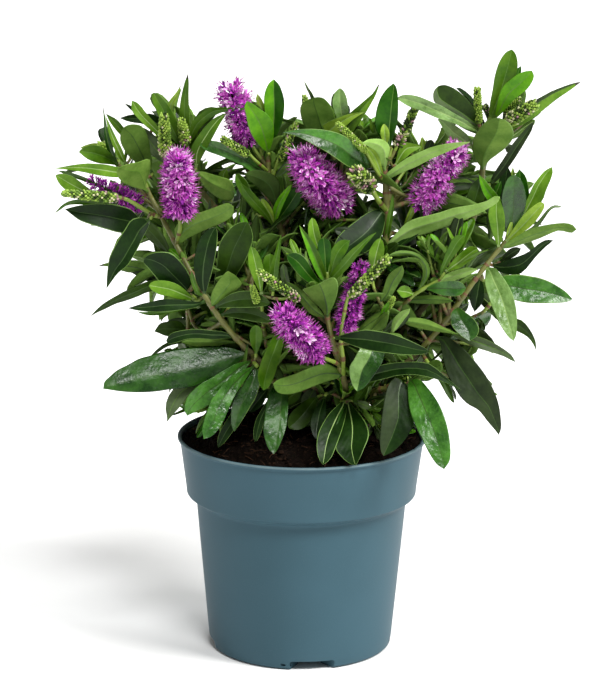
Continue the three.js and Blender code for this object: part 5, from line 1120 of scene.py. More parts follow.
    147: ((482, 128), (439, 85.6), [(472, 124), (460, 117), (446, 110), (435, 103), (433, 96), (434.4, 90)], [(481, 119), (476.3, 112.5), (472.5, 106.3), (467.5, 100), (460, 92.5), (452.5, 87.5), (445, 84.9)]),
    148: ((474, 150), (437.5, 119.5), [(462, 146), (450, 139), (446, 133.8), (441.5, 126)], [(470, 138), (462, 130), (450, 122), (442, 118.5)]),
    149: ((492, 118.8), (511.9, 49.4), [(489, 113.8), (490, 102.5), (492.5, 90), (494.4, 77.5), (497.5, 66.3), (501.3, 58.1), (506.3, 51.9)], [(499, 110), (507, 97), (513, 84), (517, 72), (517.7, 62), (515.6, 53.8)]),
    150: ((495, 118), (531.9, 70.6), [(495.6, 112.5), (497.5, 102.5), (500, 92.5), (503.8, 85.6), (510, 80), (517.5, 74.4), (525, 71.3)], [(500, 115), (505, 110), (512.5, 101.3), (520, 95), (527.5, 88.8), (532.5, 81.3), (534, 75.6)]),
    151: ((500, 112), (521, 66), [(505, 98), (513, 80), (516.5, 69.5)], [(510, 98), (519, 80), (521.3, 71)]),
    152: ((500, 128), (581, 81.9), [(508, 118), (520, 108.5), (532.5, 101.3), (540, 97.5), (550, 91.9), (561.3, 87.3), (572.5, 83.5)], [(508, 131), (520, 126.3), (532.5, 118.8), (545, 108.8), (557.5, 98.8), (570, 90.4)]),
    153: ((482, 172), (499.5, 117.9), [(476, 160), (472, 150), (472.5, 142.5), (475, 135), (480, 127.5), (486.3, 121.3), (492, 118.2)], [(485, 166.3), (490, 160), (497.5, 154.4), (506.3, 147.5), (511.3, 141.3), (513.8, 134.5), (512, 127), (507, 121)]),
    154: ((490, 184), (534, 121.3), [(491.5, 177.5), (497.5, 167.5), (505, 156.3), (512.5, 143.8), (520, 135), (527.5, 126.3)], [(495.5, 182), (503.8, 173.8), (511.3, 163.8), (518.8, 152.5), (526.3, 140), (531.9, 130)]),
    156: ((178, 284), (131, 272.5), [(165, 288), (152, 283.5), (140, 277.5)], [(165, 276), (150, 272.5), (140, 271)]),
    157: ((386, 150), (373, 126), [(374, 142), (369.5, 136), (370, 130)], [(384, 140), (379, 132), (376, 128)]),
    158: ((352, 400), (371, 407), [(360, 400.5), (367, 402)], [(360, 407), (367, 409.5)]),
    159: ((500, 262), (521, 248.5), [(507, 251), (515, 247)], [(510, 259), (518, 254)]),
}


def hero_leaf_frame(base, tip, ctrl, turn):
    axis = unit(tip - base)
    to_eye = unit(EYE - ctrl)
    s0 = unit(np.cross(axis, to_eye))
    n0 = np.cross(s0, axis)
    a = math.radians(turn)
    return n0 * math.cos(a) - s0 * math.sin(a)


# which mass a leaf belongs to
mass_names = sorted(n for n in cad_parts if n.endswith("_mass"))
mass_boxes = {n: [np.array(c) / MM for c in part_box(n)] for n in mass_names}
mass_centre = {n: (b[0] + b[1]) / 2 for n, b in mass_boxes.items()}
mass_half = {n: (b[1] - b[0]) / 2 for n, b in mass_boxes.items()}


def mass_of(p):
    return min(mass_names, key=lambda n: np.linalg.norm((p - mass_centre[n]) / mass_half[n]))


leaf_piles = {n: Pile() for n in mass_names}
shown = []              # (verts, faces) of what shows from the front, to keep the rest behind it
IN_VIEW = np.zeros((int(IMG_H), int(IMG_W)), bool)


def mark(points, r=0.0):
    """Notes where points of the plant fall in the picture, r pixels round."""
    d = np.asarray(points, float).reshape(-1, 3) - EYE
    w = d @ FWD
    x = np.round(IMG_W / 2 + FOCAL * (d @ RIGHT) / w).astype(int)
    y = np.round(IMG_H / 2 - FOCAL * (d @ UP) / w).astype(int)
    k = int(math.ceil(r))
    for i in range(-k, k + 1):
        for j in range(-k, k + 1):
            if i * i + j * j <= r * r + 0.5:
                IN_VIEW[np.clip(y + j, 0, int(IMG_H) - 1), np.clip(x + i, 0, int(IMG_W) - 1)] = True


def mark_grid(g):
    for a in np.linspace(0, 1, 6):
        for b in np.linspace(0, 1, 5):
            mark((g[:-1, :-1] * (1 - a) + g[1:, :-1] * a) * (1 - b) + (g[:-1, 1:] * (1 - a) + g[1:, 1:] * a) * b)


def join_to_stem(base, ahead, reach=3.2, grow=True):
    """Where a leaf's foot meets its stem; a short side twig is grown if none is near."""
    d, st, i = nearest_on_stems(base)
    r = st.r[i]
    if d < reach + r:
        out = unit(base - st.pts[i]) if d > 0.2 else unit(ahead)
        out = unit(out * 0.4 + unit(ahead) * 0.6)
        return st.pts[i] + out * (r * 0.6)
    if grow:
        root = st.pts[i]
        c = base - unit(ahead) * min(0.45 * d, 14.0)
        path = resample(bezier(root, c, base, 14), 2.0)
        rad = np.linspace(min(1.5, r * 0.9), 1.05, len(path))
        sw, nodes, s = stem_rings(path, rad, node_gap=12, swell=0.12, seed=int(abs(base[0] * 7 + base[2])) % 9999)
        tube(twigs, path, sw, 7, stem_mats(len(path), s, nodes, 0.0, 0.4, int(abs(base[2] * 3)) % 997))
        STEMS.append(Stem("twig", path, rad[0], rad[-1]))
    return base


for k, (bx, by, tx, ty, yb, yt, w, turn, cls, o) in enumerate(HERO):
    if "skip" in o:
        continue
    trace = TRACES.get(k)
    if trace:
        (bx, by), (tx, ty) = trace[:2]
    base, tip = at(bx, by, yb), at(tx, ty, yt)
    if "m" in o:
        mpt = at(o["m"][0], o["m"][1], (yb + yt) / 2 + o.get("md", 0))
        ctrl = 2 * mpt - (base + tip) / 2
    else:
        ctrl = (base + tip) / 2
    normal = hero_leaf_frame(base, tip, ctrl, turn)
    base = join_to_stem(base, ctrl - base)
    length = np.linalg.norm(tip - base)
    # the blade arches along the line of sight, so that its middle stays where it is seen
    to_eye = unit(EYE - ctrl)
    ctrl = ctrl + to_eye * ((normal @ to_eye) * o.get("cv", 0.08) * length * 2)
    fold = o.get("f", 14)
    wide = w * mm_per_px((base + tip) / 2) / (max(0.34, abs(math.cos(math.radians(turn)))) * math.cos(math.radians(fold)))
    wide = min(wide, 29.0)
    fine = bool(o.get("fine"))
    nu, cols = (64, FINE_COLS) if fine else (24 if w > 20 else 16, HERO_COLS)
    target = leaf_piles[mass_of((base + 2 * tip + ctrl) / 4)]
    if trace:
        top = add_traced_leaf(target, base, tip, trace[2], trace[3], turn, cls=cls, under=o.get("u"), fold=fold,
                              arch=o.get("cv", 0.08), dip=o.get("md", 0), cup=o.get("cup", 0.0), wave=o.get("k", 0.45),
                              margin=o.get("mg", 0), tip_dark=bool(o.get("td")), nu=nu, cols=cols, seed=k + 1,
                              wrinkle=o.get("wr", 0.5 if fine else 0.16), painted_half_cls=o.get("h"), rib=o.get("rb"),
                              rib_at=o.get("rf", 0.0))
    else:
        top = add_leaf(target, base, tip, wide, normal, ctrl, cls=cls, under=o.get("u"), fold=fold,
                       cup=o.get("cup", 0.0), wave=o.get("k", 0.45), twist=o.get("tw", 0), shape=o.get("s", "n"),
                       margin=o.get("mg", 0), tip_dark=bool(o.get("td")), nu=nu, cols=cols, seed=k + 1,
                       wrinkle=o.get("wr", 0.5 if fine else 0.16), right=o.get("h"), rib=o.get("rb"))
    shown.append((target.v[-1], leaf_grid(nu, cols)))
    mark_grid(top)

# ------------------------------------------------------------------ flowers
PETALS = [
    node_material("petal_deep", srgb(108, 20, 120), srgb(138, 40, 150), rough=0.65, patch=400.0, bump=0.1, bump_scale=1500.0, spec=0.2),
    node_material("petal_middle", srgb(170, 46, 172), srgb(194, 72, 192), rough=0.65, patch=400.0, bump=0.1, bump_scale=1500.0, spec=0.2),
    node_material("petal_bright", srgb(212, 92, 206), srgb(230, 128, 224), rough=0.65, patch=400.0, bump=0.1, bump_scale=1500.0, spec=0.2),
    node_material("petal_light", srgb(216, 132, 214), srgb(232, 168, 228), rough=0.65, patch=400.0, bump=0.1, bump_scale=1500.0, spec=0.2),
    node_material("petal_pale", srgb(232, 190, 230), srgb(244, 222, 240), rough=0.65, patch=400.0, bump=0.1, bump_scale=1500.0, spec=0.2),
]
FILAMENT = node_material("filament", srgb(176, 90, 178), srgb(212, 150, 212), rough=0.6, patch=500.0, bump=0, spec=0.2)
ANTHER = node_material("anther", srgb(110, 50, 96), srgb(150, 96, 128), rough=0.7, patch=600.0, bump=0, spec=0.2)
CALYX = node_material("calyx", srgb(40, 36, 18), srgb(64, 58, 34), rough=0.6, patch=500.0, bump=0, spec=0.2)
FLOWER_MATS = [*PETALS, FILAMENT, ANTHER, CALYX]
FIL_IX, ANT_IX, CAL_IX = 5, 6, 7


def ring_tube(p0, p1, r0, r1, sides):
    d = unit(p1 - p0)
    a = unit(np.cross(d, (0.3, 0.9, 0.2)))
    b = np.cross(d, a)
    ang = np.linspace(0, 2 * math.pi, sides, endpoint=False)
    ring = np.cos(ang)[:, None] * a + np.sin(ang)[:, None] * b
    v = np.concatenate([p0 + ring * r0, p1 + ring * r1])
    k = np.arange(sides)
    f = np.stack([k, (k + 1) % sides, (k + 1) % sides + sides, k + sides], -1)
    return v, f


def make_floret():
    """Verts and quads of one floret along +Z, with a part number for each face: 0 petal, 1 filament, 2 anther, 3 calyx."""
    V, F, M, n = [], [], [], 0

    def put(v, f, m):
        nonlocal n
        V.append(v); F.append(f + n); M.append(np.full(len(f), m)); n += len(v)
    put(*ring_tube(np.array([0, 0, 0.0]), np.array([0, 0, 1.7]), 0.3, 0.7, 4), 3)
    put(*ring_tube(np.array([0, 0, 1.5]), np.array([0, 0, 4.4]), 0.5, 0.8, 5), 0)
    nl = 3
    for q in range(4):
        a = q * math.pi / 2 + 0.4
        out = np.array([math.cos(a), math.sin(a), 0]); sd = np.array([-math.sin(a), math.cos(a), 0])
        grid = []
        for i in range(nl + 1):
            t = i / nl
            w = (0.62, 0.98, 0.72, 0.1)[i]
            rr = 0.7 + (2.5 if q % 2 else 2.1) * t
            zz = 4.2 + 2.9 * t - 0.9 * t * t
            for j in (-1, 0, 1):
                grid.append(out * rr + sd * (j * w) + np.array([0, 0, zz + 0.34 * abs(j) * (1 - 0.4 * t)]))
        g = np.arange((nl + 1) * 3).reshape(nl + 1, 3)
        f = np.stack([g[:-1, :-1], g[1:, :-1], g[1:, 1:], g[:-1, 1:]], -1).reshape(-1, 4)
        put(np.array(grid), f, 0)
    for sgn in (-1, 1):
        p0 = np.array([0.3 * sgn, 0.1, 3.8]); p1 = np.array([1.3 * sgn, 0.6, 7.7])
        put(*ring_tube(p0, p1, 0.24, 0.18, 3), 1)
        d = unit(p1 - p0)
        v, f = ring_tube(p1 - d * 0.2, p1 + d * 0.7, 0.3, 0.2, 3)
        put(v, f, 2)
    put(*ring_tube(np.array([0, 0, 3.8]), np.array([-0.2, -0.5, 7.6]), 0.15, 0.1, 3), 1)
    return np.concatenate(V), np.concatenate(F), np.concatenate(M)


def make_bud():
    """A small closed bud along +Z, one unit long and wide, from rings of quads."""
    rings = [(0.0, 0.35), (0.4, 1.0), (0.8, 0.72), (1.0, 0.2)]
    n = 6
    ang = np.linspace(0, 2 * math.pi, n, endpoint=False)
    v = np.concatenate([np.stack([r * 0.5 * np.cos(ang), r * 0.5 * np.sin(ang), np.full(n, z)], -1) for z, r in rings])
    k = np.arange(n)
    f = np.concatenate([np.stack([i * n + k, i * n + (k + 1) % n, (i + 1) * n + (k + 1) % n, (i + 1) * n + k], -1)
                        for i in range(len(rings) - 1)])
    return v, f


FLORET = make_floret()
BUD = make_bud()


def basis(z, spin):
    z = unit(z)
    x = unit(np.cross(z, (0.21, 0.57, 0.79)))
    y = np.cross(z, x)
    c, s = math.cos(spin), math.sin(spin)
    return np.stack([x * c + y * s, y * c - x * s, z], 1)   # columns


blossom = Pile()
buds = Pile()
LIME, GREENB, DARKB, CREAM, PINKB = range(5)
BUD_MATS = [
    node_material("bud_lime", srgb(128, 160, 52), srgb(160, 188, 84), rough=0.5, patch=500.0, bump=0.15, bump_scale=1200.0, spec=0.3),
    node_material("bud_green", srgb(82, 116, 32), srgb(112, 142, 52), rough=0.5, patch=500.0, bump=0.15, bump_scale=1200.0, spec=0.3),
    node_material("bud_dark", srgb(34, 54, 12), srgb(54, 76, 26), rough=0.55, patch=500.0, bump=0.15, bump_scale=1200.0, spec=0.3),
    node_material("bud_cream", srgb(176, 182, 128), srgb(204, 202, 160), rough=0.5, patch=500.0, bump=0.1, bump_scale=1200.0, spec=0.3),
    node_material("bud_pink", srgb(160, 118, 128), srgb(196, 158, 166), rough=0.5, patch=500.0, bump=0.1, bump_scale=1200.0, spec=0.3),
]


def note_capsule(base, tip, radius):
    """Keeps the rest of the crown from growing in front of a spike."""
    path = np.array([lerp(base, tip, t) for t in np.linspace(0, 1, 8)])
    t, a, b = frames_along(path)
    ang = np.linspace(0, 2 * math.pi, 10, endpoint=False)
    v = (path[:, None, :] + radius * (np.cos(ang)[None, :, None] * a[:, None, :] + np.sin(ang)[None, :, None] * b[:, None, :])).reshape(-1, 3)
    i, j = np.arange(7)[:, None], np.arange(10)[None, :]
    f = np.stack([i * 10 + j, i * 10 + (j + 1) % 10, (i + 1) * 10 + (j + 1) % 10, (i + 1) * 10 + j], -1).reshape(-1, 4)
    shown.append((v, f))
    mark(path, radius / mm_per_px(base))


def covered(p):
    """True if what shows from the front hides p."""
    away = p - EYE
    dist = np.linalg.norm(away)
    hit = hero_bvh.ray_cast(Vector(EYE), Vector(away / dist))
    return hit[0] is not None and hit[3] < dist - 2


def raceme(base, tip, radius, count, seed, mixture=(0.3, 0.36, 0.22, 0.1, 0.02), painted_top_light=0.5, narrow=0.25, bend=None, front=True):
    """A spike of open florets, spiralling up its axis, with closed buds at its tip; its florets are painted paler
    towards the upper end, as painted light from above.
    """
    rs = np.random.default_rng(seed)
    base, tip = np.asarray(base, float), np.asarray(tip, float)
    axis = unit(tip - base)
    ctrl = (base + tip) / 2 + (np.zeros(3) if bend is None else np.asarray(bend, float))
    path = resample(bezier(base, ctrl, tip, 20), 2.0)
    tube(buds, path, np.linspace(1.3, 0.6, len(path)), 6, DARKB)
    if front:
        note_capsule(base, tip, radius * 0.8)
    fv, ff, fm = FLORET
    n_tube, n_petal = 4, 9      # first faces of the tube and of the petals
    for i in range(count):
        t = (i + 0.5) / count
        k = t * (len(path) - 1)
        c = path[int(k)] + (path[min(int(k) + 1, len(path) - 1)] - path[int(k)]) * (k - int(k))
        a = i * 2.39996 + rs.normal(0, 0.14)
        fr = basis(axis, a)
        radial = fr[:, 0]
        lift = math.radians(lerp(-18, 26, t) + max(0, t - 0.82) * 230 + rs.normal(0, 10))
        d = unit(radial * math.cos(lift) + axis * math.sin(lift))
        prof = (1 - narrow * t ** 2.2) * (0.84 + 0.16 * math.sin(min(1, t * 5) * math.pi / 2))
        if t > 0.955:
            v = BUD[0] * np.array([1.6, 1.6, 3.0]) * (0.75 + 0.3 * rs.random())
            v = v @ basis(d, rs.random() * 6).T + c + d * 0.6
            buds.add(v, BUD[1], [GREENB, DARKB, CREAM, DARKB][rs.integers(4)])
            continue
        sc = radius * prof / 7.9 * (0.84 + 0.3 * rs.random())
        R = basis(d, rs.random() * 6.28)
        v = (fv * np.array([0.77, 0.77, 1]) * sc) @ R.T + c
        if not front and not (covered(c) and covered(c + d * radius) and covered(c + d * radius + axis * 3) and covered(c + d * radius - axis * 3)):
            continue
        # florets grow paler towards the upper end: painted light from above
        tl = painted_top_light * max(0.0, (t - 0.4) / 0.6)
        mixv = np.array(mixture) * np.array([1 - 0.85 * tl, 1 - 0.4 * tl, 1 + 1.3 * tl, 1 + 2.6 * tl, 1 + 6 * tl])
        cls = int(rs.choice(5, p=mixv / mixv.sum()))
        petal = np.where(fm == 0, cls, np.where(fm == 1, min(4, max(cls, 1) + (1 if rs.random() < 0.7 else 0)), np.where(fm == 2, ANT_IX, CAL_IX)))
        petal[n_tube:n_petal] = max(0, cls - int(rs.integers(0, 2)))
        for q in range(4):
            petal[n_petal + q * 6: n_petal + q * 6 + 6] = np.clip(cls + int(rs.choice([-1, -1, 0, 0, 1])), 0, 4)
            if rs.random() < 0.5:
                petal[n_petal + q * 6 + 4: n_petal + q * 6 + 6] = np.clip(cls + 1, 0, 4)
        blossom.add(v, ff, petal)


def bud_spike(base, tip, radius, seed, colours=(0.36, 0.4, 0.16, 0.06, 0.02), open_base=0.0, gap=1.0, taper=0.45, long=1.0, front=True):
    """A spike of closed buds packed round a green axis, paler and pinker at the base where they open first."""
    rs = np.random.default_rng(seed)
    base, tip = np.asarray(base, float), np.asarray(tip, float)
    length = np.linalg.norm(tip - base)
    axis = unit(tip - base)
    path = resample(np.array([base, (base + tip) / 2, tip - axis * 1.0]), 2.0)
    tube(buds, path, np.linspace(max(0.9, radius * 0.5), radius * 0.2, len(path)), 8, DARKB)
    if front:
        note_capsule(base, tip, radius * 0.7)
    size = float(np.clip(radius * 0.52, 1.25, 2.1))
    count = int(length * 2 * math.pi * radius * 0.72 / (size * size * 0.8) * gap ** -1.6)
    for i in range(count):
        t = (i + 0.3) / count
        a = i * 2.39996
        fr = basis(axis, a)
        r_here = radius * (1 - taper * t ** 2.2) * (0.75 + 0.25 * min(1, t * 8)) * (1 if t < 0.94 else 0.75)
        lift = math.radians(lerp(22, 50, t) + max(0, t - 0.9) * 300 + rs.normal(0, 5))
        d = unit(fr[:, 0] * math.cos(lift) + axis * math.sin(lift))
        c = base + (tip - base) * t
        bl = size * 1.5 * long * (1 - 0.25 * t)
        w = size * (1 - 0.2 * t)
        grow = 0.9 + 0.2 * rs.random()
        start = max(0.0, r_here - bl * math.cos(lift))
        v = BUD[0] * np.array([w, w, bl]) * grow
        v = v @ basis(d, 0).T + c + fr[:, 0] * start - axis * bl * math.sin(lift) * 0.5
        p = np.array(colours)
        ob = open_base * max(0, 1 - t * 2.4)
        p = p * (1 - ob) + np.array([0.02, 0.12, 0.16, 0.42, 0.28]) * ob
        lime = max(0, t - 0.45) * 1.1
        p = p * np.array([1 + 2 * lime, 1, 1 - 0.5 * lime, 1, 1])
        buds.add(v, BUD[1], int(rs.choice(5, p=p / p.sum())))


R = lambda px, y=0: px * mm_per_px(np.array([0, y, 280.0]))
raceme(at(141, 206, 2), at(90, 181, -2), R(13), 78, 11, mixture=(0.78, 0.17, 0.03, 0.01, 0.01), painted_top_light=0.05)
raceme(at(180, 211, -22), at(178, 159, -34), R(19.5, -20), 226, 12, mixture=(0.36, 0.34, 0.19, 0.09, 0.02), painted_top_light=1.0, narrow=0.14)
raceme(at(248, 140, 4), at(232, 92, -2), R(16.5), 182, 13, mixture=(0.2, 0.32, 0.26, 0.16, 0.06), painted_top_light=0.3, narrow=-0.1)
raceme(at(338, 205, -10), at(303, 161, -26), R(22.5, -10), 252, 14, mixture=(0.14, 0.36, 0.32, 0.165, 0.015), painted_top_light=0.35, narrow=0.12)
raceme(at(421, 203, -6), at(458, 149, -12), R(19), 230, 15, mixture=(0.06, 0.3, 0.35, 0.25, 0.04), painted_top_light=0.45, narrow=0.2)
raceme(at(316, 351, -70), at(284, 316, -84), R(19.5, -75), 232, 16, mixture=(0.4, 0.38, 0.16, 0.055, 0.005), painted_top_light=0.5, narrow=0.12)
raceme(at(345, 330, -56), at(362, 264, -56), R(14, -56), 150, 17, mixture=(0.6, 0.28, 0.08, 0.03, 0.01), painted_top_light=0.1, narrow=0.3)

bud_spike(at(118, 198, -16), at(62, 193, -22), R(6.0), 21, colours=(0.25, 0.42, 0.25, 0.06, 0.02), open_base=0.7)
bud_spike(at(165, 156, -10), at(164, 114, -20), R(7.2), 22, colours=(0.42, 0.3, 0.14, 0.1, 0.04), open_base=1.0, taper=0.35)
bud_spike(at(186, 144, -2), at(181, 119, -10), R(6.4), 23, colours=(0.6, 0.3, 0.06, 0.03, 0.01))
bud_spike(at(249, 155, -6), at(221, 138, -10), R(5.0), 24, taper=0.3)
bud_spike(at(280, 160, -2), at(297, 122, -4), R(4.8), 25, colours=(0.3, 0.35, 0.25, 0.05, 0.02))
bud_spike(at(367, 152, -20), at(337, 123, -26), R(4.2), 26, colours=(0.75, 0.22, 0.0, 0.03, 0.0), taper=0.25)
bud_spike(at(372, 189, -22), at(354, 171, -32), R(10, -20), 27, colours=(0.22, 0.2, 0.16, 0.3, 0.12), taper=0.1, long=1.5)
bud_spike(at(398, 146, -2), at(418, 103, -2), R(5.6), 28, colours=(0.16, 0.36, 0.42, 0.02, 0.04), gap=1.3, open_base=0.8, long=1.5, taper=0.3)
bud_spike(at(479, 123, 0), at(477, 87, -3), R(4.6), 29, colours=(0.6, 0.35, 0.05, 0.0, 0.0), taper=0.2)
bud_spike(at(507, 122, -4), at(537, 103, -8), R(8.0), 30, colours=(0.3, 0.3, 0.26, 0.12, 0.02), taper=0.3)
bud_spike(at(505, 114, 2), at(521, 98, 2), R(5.0), 31)
bud_spike(at(491, 118, 4), at(485, 104, 4), R(3.8), 32, colours=(0.02, 0.08, 0.5, 0.15, 0.25), gap=1.3)
bud_spike(at(350, 297, -64), at(389, 257, -72), R(6.4, -64), 33, colours=(0.25, 0.4, 0.25, 0.08, 0.02), open_base=0.6, taper=0.25)
bud_spike(at(299, 300, -68), at(258, 271, -76), R(5.8, -66), 34, colours=(0.25, 0.36, 0.25, 0.12, 0.02), open_base=0.8, taper=0.3)
bud_spike(at(257, 303, -50), at(252, 285, -52), R(4.6, -50), 35, colours=(0.7, 0.25, 0.0, 0.05, 0))
bud_spike(at(388, 308, -50), at(394, 297, -54), R(3.8, -50), 36, colours=(0.8, 0.2, 0, 0, 0))
bud_spike(at(329, 264, -60), at(325.5, 245, -62), R(2.8, -60), 38, colours=(0.8, 0.2, 0, 0, 0))
bud_spike(at(110, 154, 4), at(98, 143, 2), R(5.2), 37, colours=(0.7, 0.2, 0.05, 0.05, 0))

# ------------------------------------------------------------------ the rest of the crown, by a seeded branching rule
# open places that a twig or leaf may not cover, as seen from the front: x, y, radius in the picture
SKY = [
    (117, 133, 3), (121, 142, 3), (126, 151, 2), (137, 203, 3), (143, 206, 3), (149, 187, 3), (135, 214, 3), (157, 220, 2),
    (206, 155, 5), (214, 158, 5), (224, 160, 3), (232, 168, 5), (240, 172, 6), (244, 181, 4), (229, 184, 2),
    (218, 128, 6), (226, 122, 6), (224, 136, 6), (232, 130, 4), (254, 149, 3), (286, 141, 4), (296, 143, 3), (255, 192, 4), (260, 196, 2),
    (366, 124, 4), (373, 108, 5), (404, 118, 6), (412, 126, 8), (424, 128, 8), (434, 134, 6), (415, 138, 5),
    (470, 168, 3), (470, 177, 3), (489, 170, 5), (496, 163, 4), (540, 215, 8), (550, 235, 4),
    (163, 317, 4), (176, 319, 4), (195, 318, 3), (201, 313, 2), (130, 330, 14), (140, 345, 8), (120, 345, 14),
    (130, 405, 16), (150, 415, 12), (434, 352, 5), (430, 388, 7), (440, 398, 6), (468, 312, 4), (474, 306, 3),
    (540, 90, 5), (562, 98, 4), (551, 105, 4), (470, 92, 4), (484, 98, 5), (463, 84, 3),
    (300, 100, 8), (290, 110, 8), (290, 90, 12), (325, 85, 8), (360, 90, 8),
]

for st in STEMS:
    mark(st.pts, 2)


def spread(m, r):
    out = m.copy()
    for dx in range(-r, r + 1):
        for dy in range(-r, r + 1):
            if dx * dx + dy * dy <= r * r + 1:
                out |= np.roll(np.roll(m, dy, 0), dx, 1)
    return out


def inside_outline(m):
    """The places a shape covers, its narrow gaps closed and whatever it encloses filled in."""
    m = ~spread(~spread(m, 5), 5)
    small = m[: m.shape[0] // 2 * 2, : m.shape[1] // 2 * 2]
    small = small[::2, ::2] | small[1::2, ::2] | small[::2, 1::2] | small[1::2, 1::2]
    h, w = small.shape
    outer = np.zeros_like(small)
    todo = [(0, 0)]
    outer[0, 0] = True
    while todo:
        y, x = todo.pop()
        for q, p in ((y + 1, x), (y - 1, x), (y, x + 1), (y, x - 1)):
            if 0 <= q < h and 0 <= p < w and not outer[q, p] and not small[q, p]:
                outer[q, p] = True
                todo.append((q, p))
    full = np.zeros_like(m)
    full[: h * 2, : w * 2] = np.repeat(np.repeat(~outer, 2, 0), 2, 1)
    return m | full


ROOM = inside_outline(IN_VIEW)
for x, y, r in SKY:
    yy, xx = np.ogrid[: int(IMG_H), : int(IMG_W)]
    ROOM[(xx - x) ** 2 + (yy - y) ** 2 < (r + 1.0) ** 2] = False
hv, hf, hn = [], [], 0
for v, f in shown:
    hv += [tuple(c) for c in v]
    hf += [tuple(int(i) + hn for i in q) for q in f]
    hn += len(v)
hero_bvh = BVHTree.FromPolygons(hv, hf)


def has_room(p):
    x, y = seen_at(p)
    return ROOM[int(np.clip(round(y), 0, IMG_H - 1)), int(np.clip(round(x), 0, IMG_W - 1))]


def in_view_ok(p, front_room=3.0):
    """True if a point lies in the crown's outline as seen from the front, off its open places, and behind what shows there."""
    if not has_room(p):
        return False
    away = p - EYE
    dist = np.linalg.norm(away)
    hit = hero_bvh.ray_cast(Vector(EYE), Vector(away / dist))
    return hit[0] is None or hit[3] < dist - front_room


def clear_of_pot(p):
    r = math.hypot(p[0], p[1])
    if r < 90:
        return p[2] > 150 + max(0.0, 8 * (1 - r / 66))
    return p[2] > 118


CLASSES = ["D", "D", "D", "M", "O", "G", "N", "M", "E", "X"]
# darker classes for the crown's inside: painted shade, deeper than the leaves' own colour
SHADED_CORE_CLASSES = ["D", "N", "D", "X", "N", "O", "G", "D"]
BACK_CLASSES = ["D", "M", "M", "G", "D", "B", "E", "L", "P", "O"]
filler_count = 0
BOX_LO = np.array(cad_lo) / MM - 2
BOX_HI = np.array(cad_hi) / MM + 2


def try_leaf(base, direction, length, width, top, mass, cls, rs, droop=0.12):
    """Adds a leaf if all of it is in the crown; it may be shortened first."""
    global filler_count
    for scale in (1.0, 0.82, 0.66, 0.52):
        L = length * scale
        tip = base + direction * L + np.array([0, 0, -1.0]) * droop * L * L / 60
        ctrl = base + direction * L * 0.55 + top * L * 0.08
        pts = [base * 0.6 + tip * 0.4, base * 0.3 + tip * 0.7, tip]
        side = unit(np.cross(direction, top)) * width * 0.46 * scale
        pts += [pts[0] + side, pts[0] - side, pts[1] + side * 0.85, pts[1] - side * 0.85]
        if all(clear_of_pot(p) and np.all(p > BOX_LO) and np.all(p < BOX_HI) and in_view_ok(p) for p in pts):
            add_leaf(leaf_piles[mass or mass_of((base + tip) / 2)], base, tip, width * (0.5 + 0.5 * scale), top, ctrl, cls=cls,
                     fold=8 + 16 * rs.random(), wave=0.3 + 0.5 * rs.random(), shape=["n", "n", "e", "p", "r"][rs.integers(5)],
                     margin=0, nu=8, cols=PLAIN_COLS, seed=filler_count + 500, twist=rs.normal(0, 14),
                     rib="p" if rs.random() < 0.25 else None)
            filler_count += 1
            return True
    return False


def leafy_shoot(start, end, rise, mass, rs, first=0.2, classes=CLASSES, size=1.0, gap=12.0, radius=1.5):
    """A shoot with pairs of leaves, each pair turned a quarter round from the last, smaller towards the tip."""
    ctrl = (start + end) / 2 + rise
    path = resample(bezier(start, ctrl, end, 24), 2.0)
    s = np.concatenate([[0], np.cumsum(np.linalg.norm(np.diff(path, axis=0), axis=1))])
    t, a, b = frames_along(path)
    if any(not clear_of_pot(p) or not in_view_ok(p, 1.0) for p in path[3:]):
        return False
    rad = np.linspace(radius, 0.95, len(path))
    rr, nodes, sl = stem_rings(path, rad, node_gap=gap, swell=0.15, seed=int(rs.integers(9999)))
    tube(twigs, path, rr, 6, stem_mats(len(path), sl, nodes, 0.12, 0.55, int(rs.integers(997))))
    spin = rs.random() * 6.28
    place_s, k = s[-1] * first, 0
    while place_s < s[-1] - 1:
        i = int(np.argmin(np.abs(s - place_s)))
        q = place_s / s[-1]
        for side in (0, 1):
            ang = spin + k * math.pi / 2 + side * math.pi + rs.normal(0, 0.16)
            out = a[i] * math.cos(ang) + b[i] * math.sin(ang)
            lean = math.radians(lerp(68, 34, q) + rs.normal(0, 7))
            d = unit(out * math.sin(lean) + t[i] * math.cos(lean))
            top = unit(t[i] - d * (t[i] @ d))
            # leaves turn their upper sides towards the light
            top = unit(top + np.array([0, 0, 0.5]) - d * (0.5 * d[2]))
            length = (lerp(66, 44, q ** 1.5) * (0.86 + 0.26 * rs.random())) * size
            width = length * (0.25 + 0.06 * rs.random())
            try_leaf(path[i] + out * rad[i] * 0.6, d, length, width, top, mass, classes[rs.integers(len(classes))], rs,
                     droop=0.1 + 0.2 * (1 - q))
        place_s += gap * (0.85 + 0.3 * rs.random())
        k += 1
    # closed tip: two pairs of small upright leaves
    for k2 in range(4):
        ang = spin + k2 * math.pi / 2
        out = a[-1] * math.cos(ang) + b[-1] * math.sin(ang)
        d = unit(out * (0.35 if k2 < 2 else 0.6) + t[-1])
        # tip leaves in the crown's inside take the middle class, not the light ones: painted shade
        try_leaf(path[-1], d, (16 if k2 < 2 else 28) * size, 7 * size, unit(t[-1] - d * (t[-1] @ d) - out * 0.01), mass,
                 ("L" if rs.random() < 0.6 else "B") if classes is not SHADED_CORE_CLASSES else "M", rs, droop=0)
    return True


